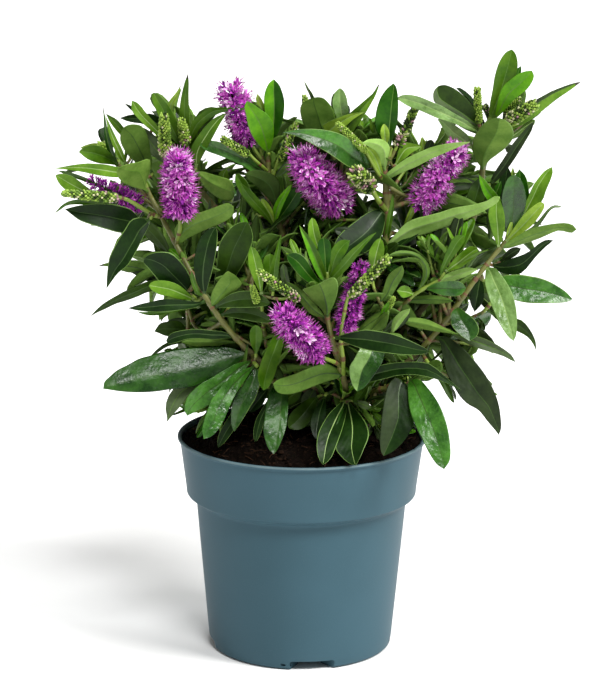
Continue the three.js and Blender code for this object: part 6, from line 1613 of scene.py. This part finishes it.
# how many shoots each mass carries, which limbs they start from, and the size of their leaves
RULE = {
    "back_left_mass": (13, ["back_left_bough"], 1.0), "back_middle_mass": (15, ["back_middle_bough"], 1.0),
    "back_right_mass": (14, ["back_right_bough"], 1.0),
    "back_low_left_mass": (11, ["back_left_bough", "back_middle_bough"], 0.9),
    "back_low_right_mass": (11, ["back_right_bough", "back_middle_bough"], 0.9),
    "back_left_low_mass": (9, ["back_left_bough", "left_bloom_bough"], 0.85),
    "upper_left_mass": (6, ["left_bough"], 0.8), "left_bloom_mass": (7, ["left_bloom_bough"], 0.85),
    "top_left_mass": (8, ["top_left_bough"], 0.85), "top_middle_mass": (9, ["top_middle_bough"], 0.85),
    "top_bloom_mass": (8, ["centre_bough"], 0.85), "top_right_mass": (6, ["top_right_bough"], 0.8),
    "right_mass": (6, ["right_bough"], 0.8), "right_middle_mass": (9, ["right_bough", "top_right_bough", "centre_bough"], 0.8),
    "lower_right_mass": (5, ["right_bough"], 0.75), "left_middle_mass": (8, ["left_bough", "left_bloom_bough"], 0.8),
    "inner_left_mass": (9, ["inner_left_bough", "top_left_bough"], 0.8), "front_mass": (6, ["front_bough"], 0.7),
    "lower_left_mass": (7, ["left_bough", "inner_left_bough"], 0.75), "lower_front_mass": (7, ["lower_front_bough", "front_bough"], 0.7),
}
for mi, (mass, (count, limbs, size)) in enumerate(RULE.items()):
    rs = np.random.default_rng(9000 + mi)
    c, h = mass_centre[mass], mass_half[mass]
    back = mass.startswith("back")
    for k in range(count):
        for attempt in range(8):
            # shoots of the front masses also fill the middle of the crown behind them
            g = unit(rs.normal(size=3) + np.array([0, 0.55 if back else 0.6 + 0.5 * (k % 2), 0.45]))
            end = c + g * h * (0.42 + 0.2 * rs.random()) * np.array([1, 1.0 if back else 1.35, 1])
            if in_view_ok(end) and clear_of_pot(end - np.array([0, 0, 6])):
                break
        else:
            continue
        d, st, i = nearest_on_stems(c + g * h * 0.1 + (rs.random(3) - 0.5) * 20 - np.array([0, 0, 12]), only=limbs)
        i = max(6, min(len(st.pts) - 3, i - int(rs.integers(0, 12))))
        start = st.pts[i]
        if np.linalg.norm(end - start) < 14:
            continue
        rise = np.array([0, 0, -0.12 * np.linalg.norm(end - start)]) + rs.normal(0, 3, 3)
        leafy_shoot(start, end, rise, mass, rs, first=0.3 if back else 0.35, classes=BACK_CLASSES if back else CLASSES,
                    size=size, radius=min(1.6, st.r[i] * 0.8))

# the shaded inside of the crown: short shoots all along the lower limbs, whose leaves take the darker core classes as
# painted shade
rs = np.random.default_rng(9100)
core_limbs = [s for s in STEMS if s.name in BOUGHS]
for k in range(150):
    st = core_limbs[k % len(core_limbs)]
    i = int(len(st.pts) * (0.16 + 0.6 * rs.random()))
    g = unit(rs.normal(size=3) * np.array([1, 1, 0.55]) + np.array([0, 0.7, 0.1]))
    start = st.pts[i]
    end = start + g * (18 + 22 * rs.random())
    if not clear_of_pot(end - np.array([0, 0, 4])):
        continue
    leafy_shoot(start, end, np.array([0, 0, 2.0]), None, rs, first=0.35, classes=SHADED_CORE_CLASSES, size=0.72,
                radius=min(1.3, st.r[i] * 0.6), gap=10.0)

# racemes and bud spikes at the back, which the same plant carries all round
for k, (x, y, z, dx, dy, dz, n) in enumerate([(-86, 112, 282, -6, 28, 24, 120), (30, 132, 300, 4, 26, 30, 130), (98, 108, 278, 16, 26, 24, 110)]):
    b = np.array([x, y, z], float)
    d, st, i = nearest_on_stems(b, only=["back_left_bough", "back_middle_bough", "back_right_bough"])
    path = resample(bezier(st.pts[i], (st.pts[i] + b) / 2 - np.array([0, 0, 5.0]), b, 16), 2.0)
    tube(twigs, path, np.linspace(1.6, 1.3, len(path)), 8, 2)
    raceme(b, b + np.array([dx, dy, dz], float), 12.5, n, 60 + k, painted_top_light=0.5, front=False)
for k, (x, y, z, dx, dy, dz) in enumerate([(-96, 104, 312, -8, 8, 24), (4, 128, 336, -4, 6, 26), (72, 122, 326, 4, 8, 26), (118, 92, 292, 10, 8, 22)]):
    b = np.array([x, y, z], float)
    d, st, i = nearest_on_stems(b, only=["back_left_bough", "back_middle_bough", "back_right_bough"])
    path = resample(bezier(st.pts[i], (st.pts[i] + b) / 2 - np.array([0, 0, 5.0]), b, 16), 2.0)
    tube(twigs, path, np.linspace(1.4, 1.0, len(path)), 8, 3)
    bud_spike(b, b + np.array([dx, dy, dz], float), 3.6, 80 + k, open_base=0.5, front=False)

# ------------------------------------------------------------------ pieces of the plant
for n in mass_names:
    leaf_piles[n].build(n.replace("_mass", "_leaves"), LEAF_MATS, "foliage", [n])
twigs.build("twigs", STEM_MATS, "green_stem")
blossom.build("blossom", FLOWER_MATS, "blossom")
buds.build("flower_buds", BUD_MATS, "foliage")

# ------------------------------------------------------------------ pot
POT_H, LIP_R, BAND_TOP_R, BAND_LOW_R, BAND_LOW_Z, STEP_Z = 148.0, 85.0, 83.4, 78.9, 111.5, 105.5
BODY_TOP_R, FOOT_R, WALL, FLOOR_T = 72.3, 62.8, 1.8, 8.6


def arc(cx, cz, r, a0, a1, n):
    return [(cx + r * math.cos(math.radians(lerp(a0, a1, i / n))), cz + r * math.sin(math.radians(lerp(a0, a1, i / n)))) for i in range(n + 1)]


def pot_profile():
    body = lambda z: FOOT_R + (BODY_TOP_R - FOOT_R) * z / STEP_Z
    band = lambda z: BAND_LOW_R + (BAND_TOP_R - BAND_LOW_R) * (z - BAND_LOW_Z) / (POT_H - 2.2 - BAND_LOW_Z)
    p = [(0, 0), (30, 0), (50, 0), (FOOT_R - 2.6, 0)]
    p += arc(FOOT_R - 2.6, 2.6, 2.6, -80, -6, 6)
    p += [(body(z), z) for z in np.linspace(6, STEP_Z - 3.5, 22)]
    p += [(body(STEP_Z - 2.2), STEP_Z - 2.2), (BODY_TOP_R + 0.4, STEP_Z - 0.9), (BODY_TOP_R + 1.6, STEP_Z - 0.1)]
    p += [(BAND_LOW_R - 3.2, STEP_Z + 1.2), (BAND_LOW_R - 1.5, STEP_Z + 1.9)]
    p += arc(BAND_LOW_R - 1.9, STEP_Z + 3.9, 1.8, -70, -5, 5)
    p += [(band(z) if z > BAND_LOW_Z else lerp(BAND_LOW_R - 0.1, BAND_LOW_R, (z - 108) / 3.5), z) for z in np.linspace(BAND_LOW_Z - 1.5, POT_H - 3.6, 12)]
    p += [(band(POT_H - 2.9), POT_H - 2.9), (BAND_TOP_R + 0.35, POT_H - 2.3)]
    p += arc(LIP_R - 1.15, POT_H - 1.15, 1.15, -75, 90, 9)
    p += [(BAND_TOP_R - 0.3, POT_H), (BAND_TOP_R - WALL + 0.9, POT_H - 0.5), (BAND_TOP_R - WALL + 0.2, POT_H - 1.6)]
    p += [(band(BAND_LOW_Z) - WALL, BAND_LOW_Z), (BODY_TOP_R - WALL + 0.2, STEP_Z - 2), (body(FLOOR_T) - WALL, FLOOR_T), (0, FLOOR_T)]
    return p


def lathe(profile, seg):
    prof = np.array(profile, float)
    v, f = [], []
    ix = []
    for r, z in prof:
        if r < 1e-6:
            ix.append([len(v)] * seg); v.append((0, 0, z))
        else:
            a = np.linspace(0, 2 * math.pi, seg, endpoint=False)
            ix.append(list(range(len(v), len(v) + seg)))
            v += [(r * math.cos(q), r * math.sin(q), z) for q in a]
    for i in range(len(prof) - 1):
        for j in range(seg):
            a, b, c, d = ix[i][j], ix[i][(j + 1) % seg], ix[i + 1][(j + 1) % seg], ix[i + 1][j]
            q = [a, b, c, d]
            q = [x for k, x in enumerate(q) if x not in q[:k]]
            if len(q) > 2:
                f.append(q)
    return v, f


def mesh_object(name, verts, faces):
    me = bpy.data.meshes.new(name)
    me.from_pydata([Vector(p) * MM for p in verts], [], faces)
    me.validate()
    bm = bmesh.new(); bm.from_mesh(me)
    bmesh.ops.remove_doubles(bm, verts=bm.verts, dist=1e-7)
    bmesh.ops.recalc_face_normals(bm, faces=bm.faces)
    bm.to_mesh(me); bm.free()
    o = bpy.data.objects.new(name, me)
    scene.collection.objects.link(o)
    return o


pot = mesh_object("pot_shell", *lathe(pot_profile(), 176))


def channel_cutter(turn):
    """The hollow of one drain channel: slanted cheeks outside, a narrow run inside, rounded upper corners."""
    o, n, far = 33 / 2, 15.4 / 2, FOOT_R + 6
    flare = (o - n) / (FOOT_R - 49)
    w = o + flare * 6
    plan = [(-w, -far), (w, -far), (n, -49), (n, -27), (-n, -27), (-n, -49)]
    h = 6.2
    verts, rings = [], []
    levels = [(-2, 0)] + [(h - 2.2 + 2.2 * math.sin(math.radians(a)), 2.2 * (1 - math.cos(math.radians(a)))) for a in range(0, 91, 18)]
    for z, inset in levels:
        ring = []
        for x, y in plan:
            k = (abs(x) - inset) / abs(x)
            ring.append(len(verts))
            verts.append((x * k, y + (inset * 0.6 if y == -27 else 0) * -1, z))
        rings.append(ring)
    faces = [rings[0][::-1], rings[-1]]
    for i in range(len(rings) - 1):
        for j in range(6):
            faces.append([rings[i][j], rings[i][(j + 1) % 6], rings[i + 1][(j + 1) % 6], rings[i + 1][j]])
    c, s = math.cos(turn), math.sin(turn)
    return [(x * c - y * s, x * s + y * c, z) for x, y, z in verts], faces


cutters = []
for k in range(4):
    turn = math.radians(7.6 + 90 * k)
    cutters.append(mesh_object("cut", *channel_cutter(turn)))
    hv2, hf2 = lathe([(0, -1), (4, -1), (4, FLOOR_T + 1), (0, FLOOR_T + 1)], 28)
    cx, cy = 33 * math.sin(turn), -33 * math.cos(turn)
    cutters.append(mesh_object("cut", [(x + cx, y + cy, z) for x, y, z in hv2], hf2))
    # the small round vent in the left cheek of each channel
    cu, su = math.cos(turn), math.sin(turn)
    hv3, hf3 = lathe([(0, -8), (1.2, -8), (1.2, 1), (0, 1)], 16)
    pts = []
    for x, y, z in hv3:
        X, Y, Z = z - 13.0, y - FOOT_R + 3.6, x + 3.4
        pts.append((X * cu - Y * su, X * su + Y * cu, Z))
    cutters.append(mesh_object("cut", pts, hf3))
for c in cutters:
    mod = pot.modifiers.new("cut", "BOOLEAN")
    mod.operation = "DIFFERENCE"
    mod.object = c
    mod.solver = "EXACT"
dg = bpy.context.evaluated_depsgraph_get()
cut_mesh = bpy.data.meshes.new_from_object(pot.evaluated_get(dg))
pot.modifiers.clear()
pot.data = cut_mesh
for c in cutters:
    bpy.data.objects.remove(c)


def shade_by_angle(me, degrees):
    me.polygons.foreach_set("use_smooth", np.full(len(me.polygons), True))
    bm = bmesh.new(); bm.from_mesh(me)
    lim = math.radians(degrees)
    for e in bm.edges:
        e.smooth = not (len(e.link_faces) == 2 and e.calc_face_angle(0) > lim)
    bm.to_mesh(me); bm.free()


shade_by_angle(pot.data, 32)
POT_MAT = node_material("pot_plastic", srgb(52, 79, 89), srgb(61, 89, 101), rough=0.44, rough2=0.5, patch=14.0, fine=1800.0,
                        bump=0.12, bump_scale=2600.0, bump_dist=0.00008, spec=0.12, mix=0.7,
                        speck=srgb(66, 92, 103), speck_amount=0.66, speck_scale=2200.0)
pot.data.materials.clear()
pot.data.materials.append(POT_MAT)
# the lip's outer edge is painted a paler, greyer tone: a painted highlight where the rounded lip catches the light
pot.data.materials.append(node_material("pot_lip_painted_highlight", srgb(82, 103, 109), srgb(96, 116, 121), rough=0.5, patch=60.0, bump=0.1,
                                        bump_scale=2600.0, bump_dist=0.00008, spec=0.15, mix=0.6))
for poly in pot.data.polygons:
    c = poly.center / MM
    if c.z > POT_H - 1.05 and math.hypot(c.x, c.y) > LIP_R - 1.25:
        poly.material_index = 1
place(pot, ["pot"])

# ------------------------------------------------------------------ soil
def soil_height(r):
    if r <= 36:
        return 156.0
    if r <= 66:
        return lerp(156.0, 151.05, (r - 36) / 30)
    return lerp(151.05, 145.0, (r - 66) / (81.2 - 66))


def wobble(x, y):
    return (0.9 * math.sin(x * 0.21 + 1.3) * math.cos(y * 0.19 + 0.4) + 0.6 * math.sin(x * 0.47 + y * 0.33 + 2.1)
            + 0.45 * math.sin(x * 0.9 - y * 0.7) * math.cos(y * 1.1 + 0.3))


SOIL = [
    node_material("peat", srgb(7, 4, 2), srgb(18, 11, 7), rough=0.95, patch=220.0, fine=1400.0, bump=0.9, bump_scale=900.0,
                  bump_dist=0.001, speck=srgb(46, 32, 22), speck_amount=0.68, speck_scale=900.0, mix=0.4, spec=0.06),
    node_material("peat_crumb", srgb(14, 8, 5), srgb(38, 25, 16), rough=0.95, patch=300.0, bump=0.8, bump_scale=1500.0, bump_dist=0.0006, mix=0.4, spec=0.06),
    node_material("peat_fibre", srgb(44, 28, 18), srgb(70, 48, 32), rough=0.9, patch=300.0, bump=0.4, bump_scale=1500.0, mix=0.4, spec=0.1),
]
soil = Pile()
seg, rings = 200, 64
R_TOP = 81.0
vs = [(0.0, 0.0, 156.0 + wobble(0, 0))]
for i in range(1, rings + 1):
    r = R_TOP * i / rings
    for j in range(seg):
        a = 2 * math.pi * j / seg
        x, y = r * math.cos(a), r * math.sin(a)
        fade = 1 if r < 76 else (R_TOP - r) / 5
        vs.append((x, y, soil_height(r) + fade * (wobble(x, y) + 0.5 * nrng.normal() * 0.9) - (0.7 if r < 40 else 0)))
low_rings = [(BODY_TOP_R - WALL - 0.3, 103.0), (FOOT_R + 0.78 - WALL - 0.4, FLOOR_T + 0.4)]
for r, z in [(BAND_LOW_R - WALL - 0.5, BAND_LOW_Z)] + low_rings:
    for j in range(seg):
        a = 2 * math.pi * j / seg
        vs.append((r * math.cos(a), r * math.sin(a), z))
vs.append((0, 0, FLOOR_T + 0.4))
vs = np.array(vs)
fq = []
for i in range(rings + 2):
    for j in range(seg):
        a, b = 1 + i * seg + j, 1 + i * seg + (j + 1) % seg
        fq.append((a, a + seg, b + seg, b))
soil.add(vs, np.array(fq), 0)
last = 1 + (rings + 2) * seg
soil.f.append(np.array([(0, 1 + j, 1 + (j + 1) % seg) for j in range(seg)])); soil.m.append(np.zeros(seg, int)); soil.tris += seg
soil.f.append(np.array([(len(vs) - 1, last + (j + 1) % seg, last + j) for j in range(seg)])); soil.m.append(np.zeros(seg, int)); soil.tris += seg
CRUMB_V = np.array([(1, 0, 0), (-1, 0, 0), (0, 1, 0), (0, -1, 0), (0, 0, 1), (0, 0, -1)], float)
CRUMB_F = np.array([(0, 2, 4), (2, 1, 4), (1, 3, 4), (3, 0, 4), (2, 0, 5), (1, 2, 5), (3, 1, 5), (0, 3, 5)])


def split_tri(v, f):
    v = [tuple(p) for p in v]
    out, cache = [], {}
    def mid(a, b):
        k = (min(a, b), max(a, b))
        if k not in cache:
            cache[k] = len(v)
            m = np.array(v[a]) + np.array(v[b])
            v.append(tuple(m / np.linalg.norm(m)))
        return cache[k]
    for a, b, c in f:
        ab, bc, ca = mid(a, b), mid(b, c), mid(c, a)
        out += [(a, ab, ca), (ab, b, bc), (ca, bc, c), (ab, bc, ca)]
    return np.array(v), np.array(out)


CV, CF = split_tri(CRUMB_V, CRUMB_F)
for k in range(1100):
    r = math.sqrt(nrng.random()) * 79.5
    a = nrng.random() * 2 * math.pi
    x, y = r * math.cos(a), r * math.sin(a)
    s = 0.6 + 1.7 * nrng.random() ** 3
    if r > 76:
        s *= 0.6
    lump = CV * (1 + 0.28 * nrng.normal(size=(len(CV), 1))) * np.array([s, s * (0.6 + 0.5 * nrng.random()), s * 0.7])
    c, d = math.cos(k), math.sin(k)
    lump = lump @ np.array([(c, d, 0), (-d, c, 0), (0, 0, 1)])
    soil.add(lump + np.array([x, y, soil_height(r) + wobble(x, y) * (1 if r < 76 else 0.2) + 0.1 * s - (0.7 if r < 40 else 0)]), CF, 1 if nrng.random() < 0.8 else 0)
for k in range(190):
    r = math.sqrt(nrng.random()) * 78
    a = nrng.random() * 2 * math.pi
    x, y = r * math.cos(a), r * math.sin(a)
    L = 2.5 + 7 * nrng.random()
    d = unit([nrng.normal(), nrng.normal(), 0.25 * nrng.normal()])
    p0 = np.array([x, y, soil_height(r) + 0.9])
    if math.hypot(*(p0 + d * L)[:2]) > 79.5:
        continue
    pts = bezier(p0, p0 + d * L / 2 + np.array([0, 0, 1.4 * nrng.random()]) + nrng.normal(size=3) * 0.8, p0 + d * L - np.array([0, 0, 0.8]), 5)
    tube(soil, pts, np.full(5, 0.14 + 0.16 * nrng.random()), 4, 2)
soil.build("soil_peat", SOIL, "peat", ["soil"], smooth=False)

# ------------------------------------------------------------------ floor and light
fl = bpy.data.meshes.new("floor")
S = 60.0
fl.from_pydata([(-S, -S, -0.0004), (S, -S, -0.0004), (S, S, -0.0004), (-S, S, -0.0004)], [], [(0, 1, 2, 3)])
floor = bpy.data.objects.new("floor", fl)
scene.collection.objects.link(floor)
fl.materials.append(node_material("floor_pale", (0.84, 0.84, 0.84, 1), (0.87, 0.87, 0.87, 1), rough=0.9, patch=3.0, fine=60.0, bump=0, spec=0.1))

world = bpy.data.worlds.new("studio")
scene.world = world
world.use_nodes = True
wn = world.node_tree
bg = wn.nodes["Background"]
bg.inputs["Color"].default_value = (1.0, 1.0, 0.97, 1)
bg.inputs["Strength"].default_value = 0.33


def sun(name, azimuth, elevation, strength, angle, colour=(1, 1, 1)):
    """azimuth from the front (-Y) towards the right (+X), in degrees."""
    data = bpy.data.lights.new(name, "SUN")
    data.energy, data.angle, data.color = strength, math.radians(angle), colour
    o = bpy.data.objects.new(name, data)
    scene.collection.objects.link(o)
    a, e = math.radians(azimuth), math.radians(elevation)
    to_light = Vector((math.sin(a) * math.cos(e), -math.cos(a) * math.cos(e), math.sin(e)))
    o.rotation_mode = "QUATERNION"
    o.rotation_quaternion = to_light.to_track_quat("Z", "Y")
    return o


sun("key", 64, 44, 3.65, 22, (1.0, 0.99, 0.97))
sun("front_top", 12, 58, 1.75, 14, (1.0, 1.0, 1.0))
sun("over_back", 170, 62, 1.5, 22, (1.0, 1.0, 1.0))
scene.view_settings.view_transform = "Standard"
scene.view_settings.look = "None"
scene.view_settings.exposure = 0.0
scene.view_settings.gamma = 1.0
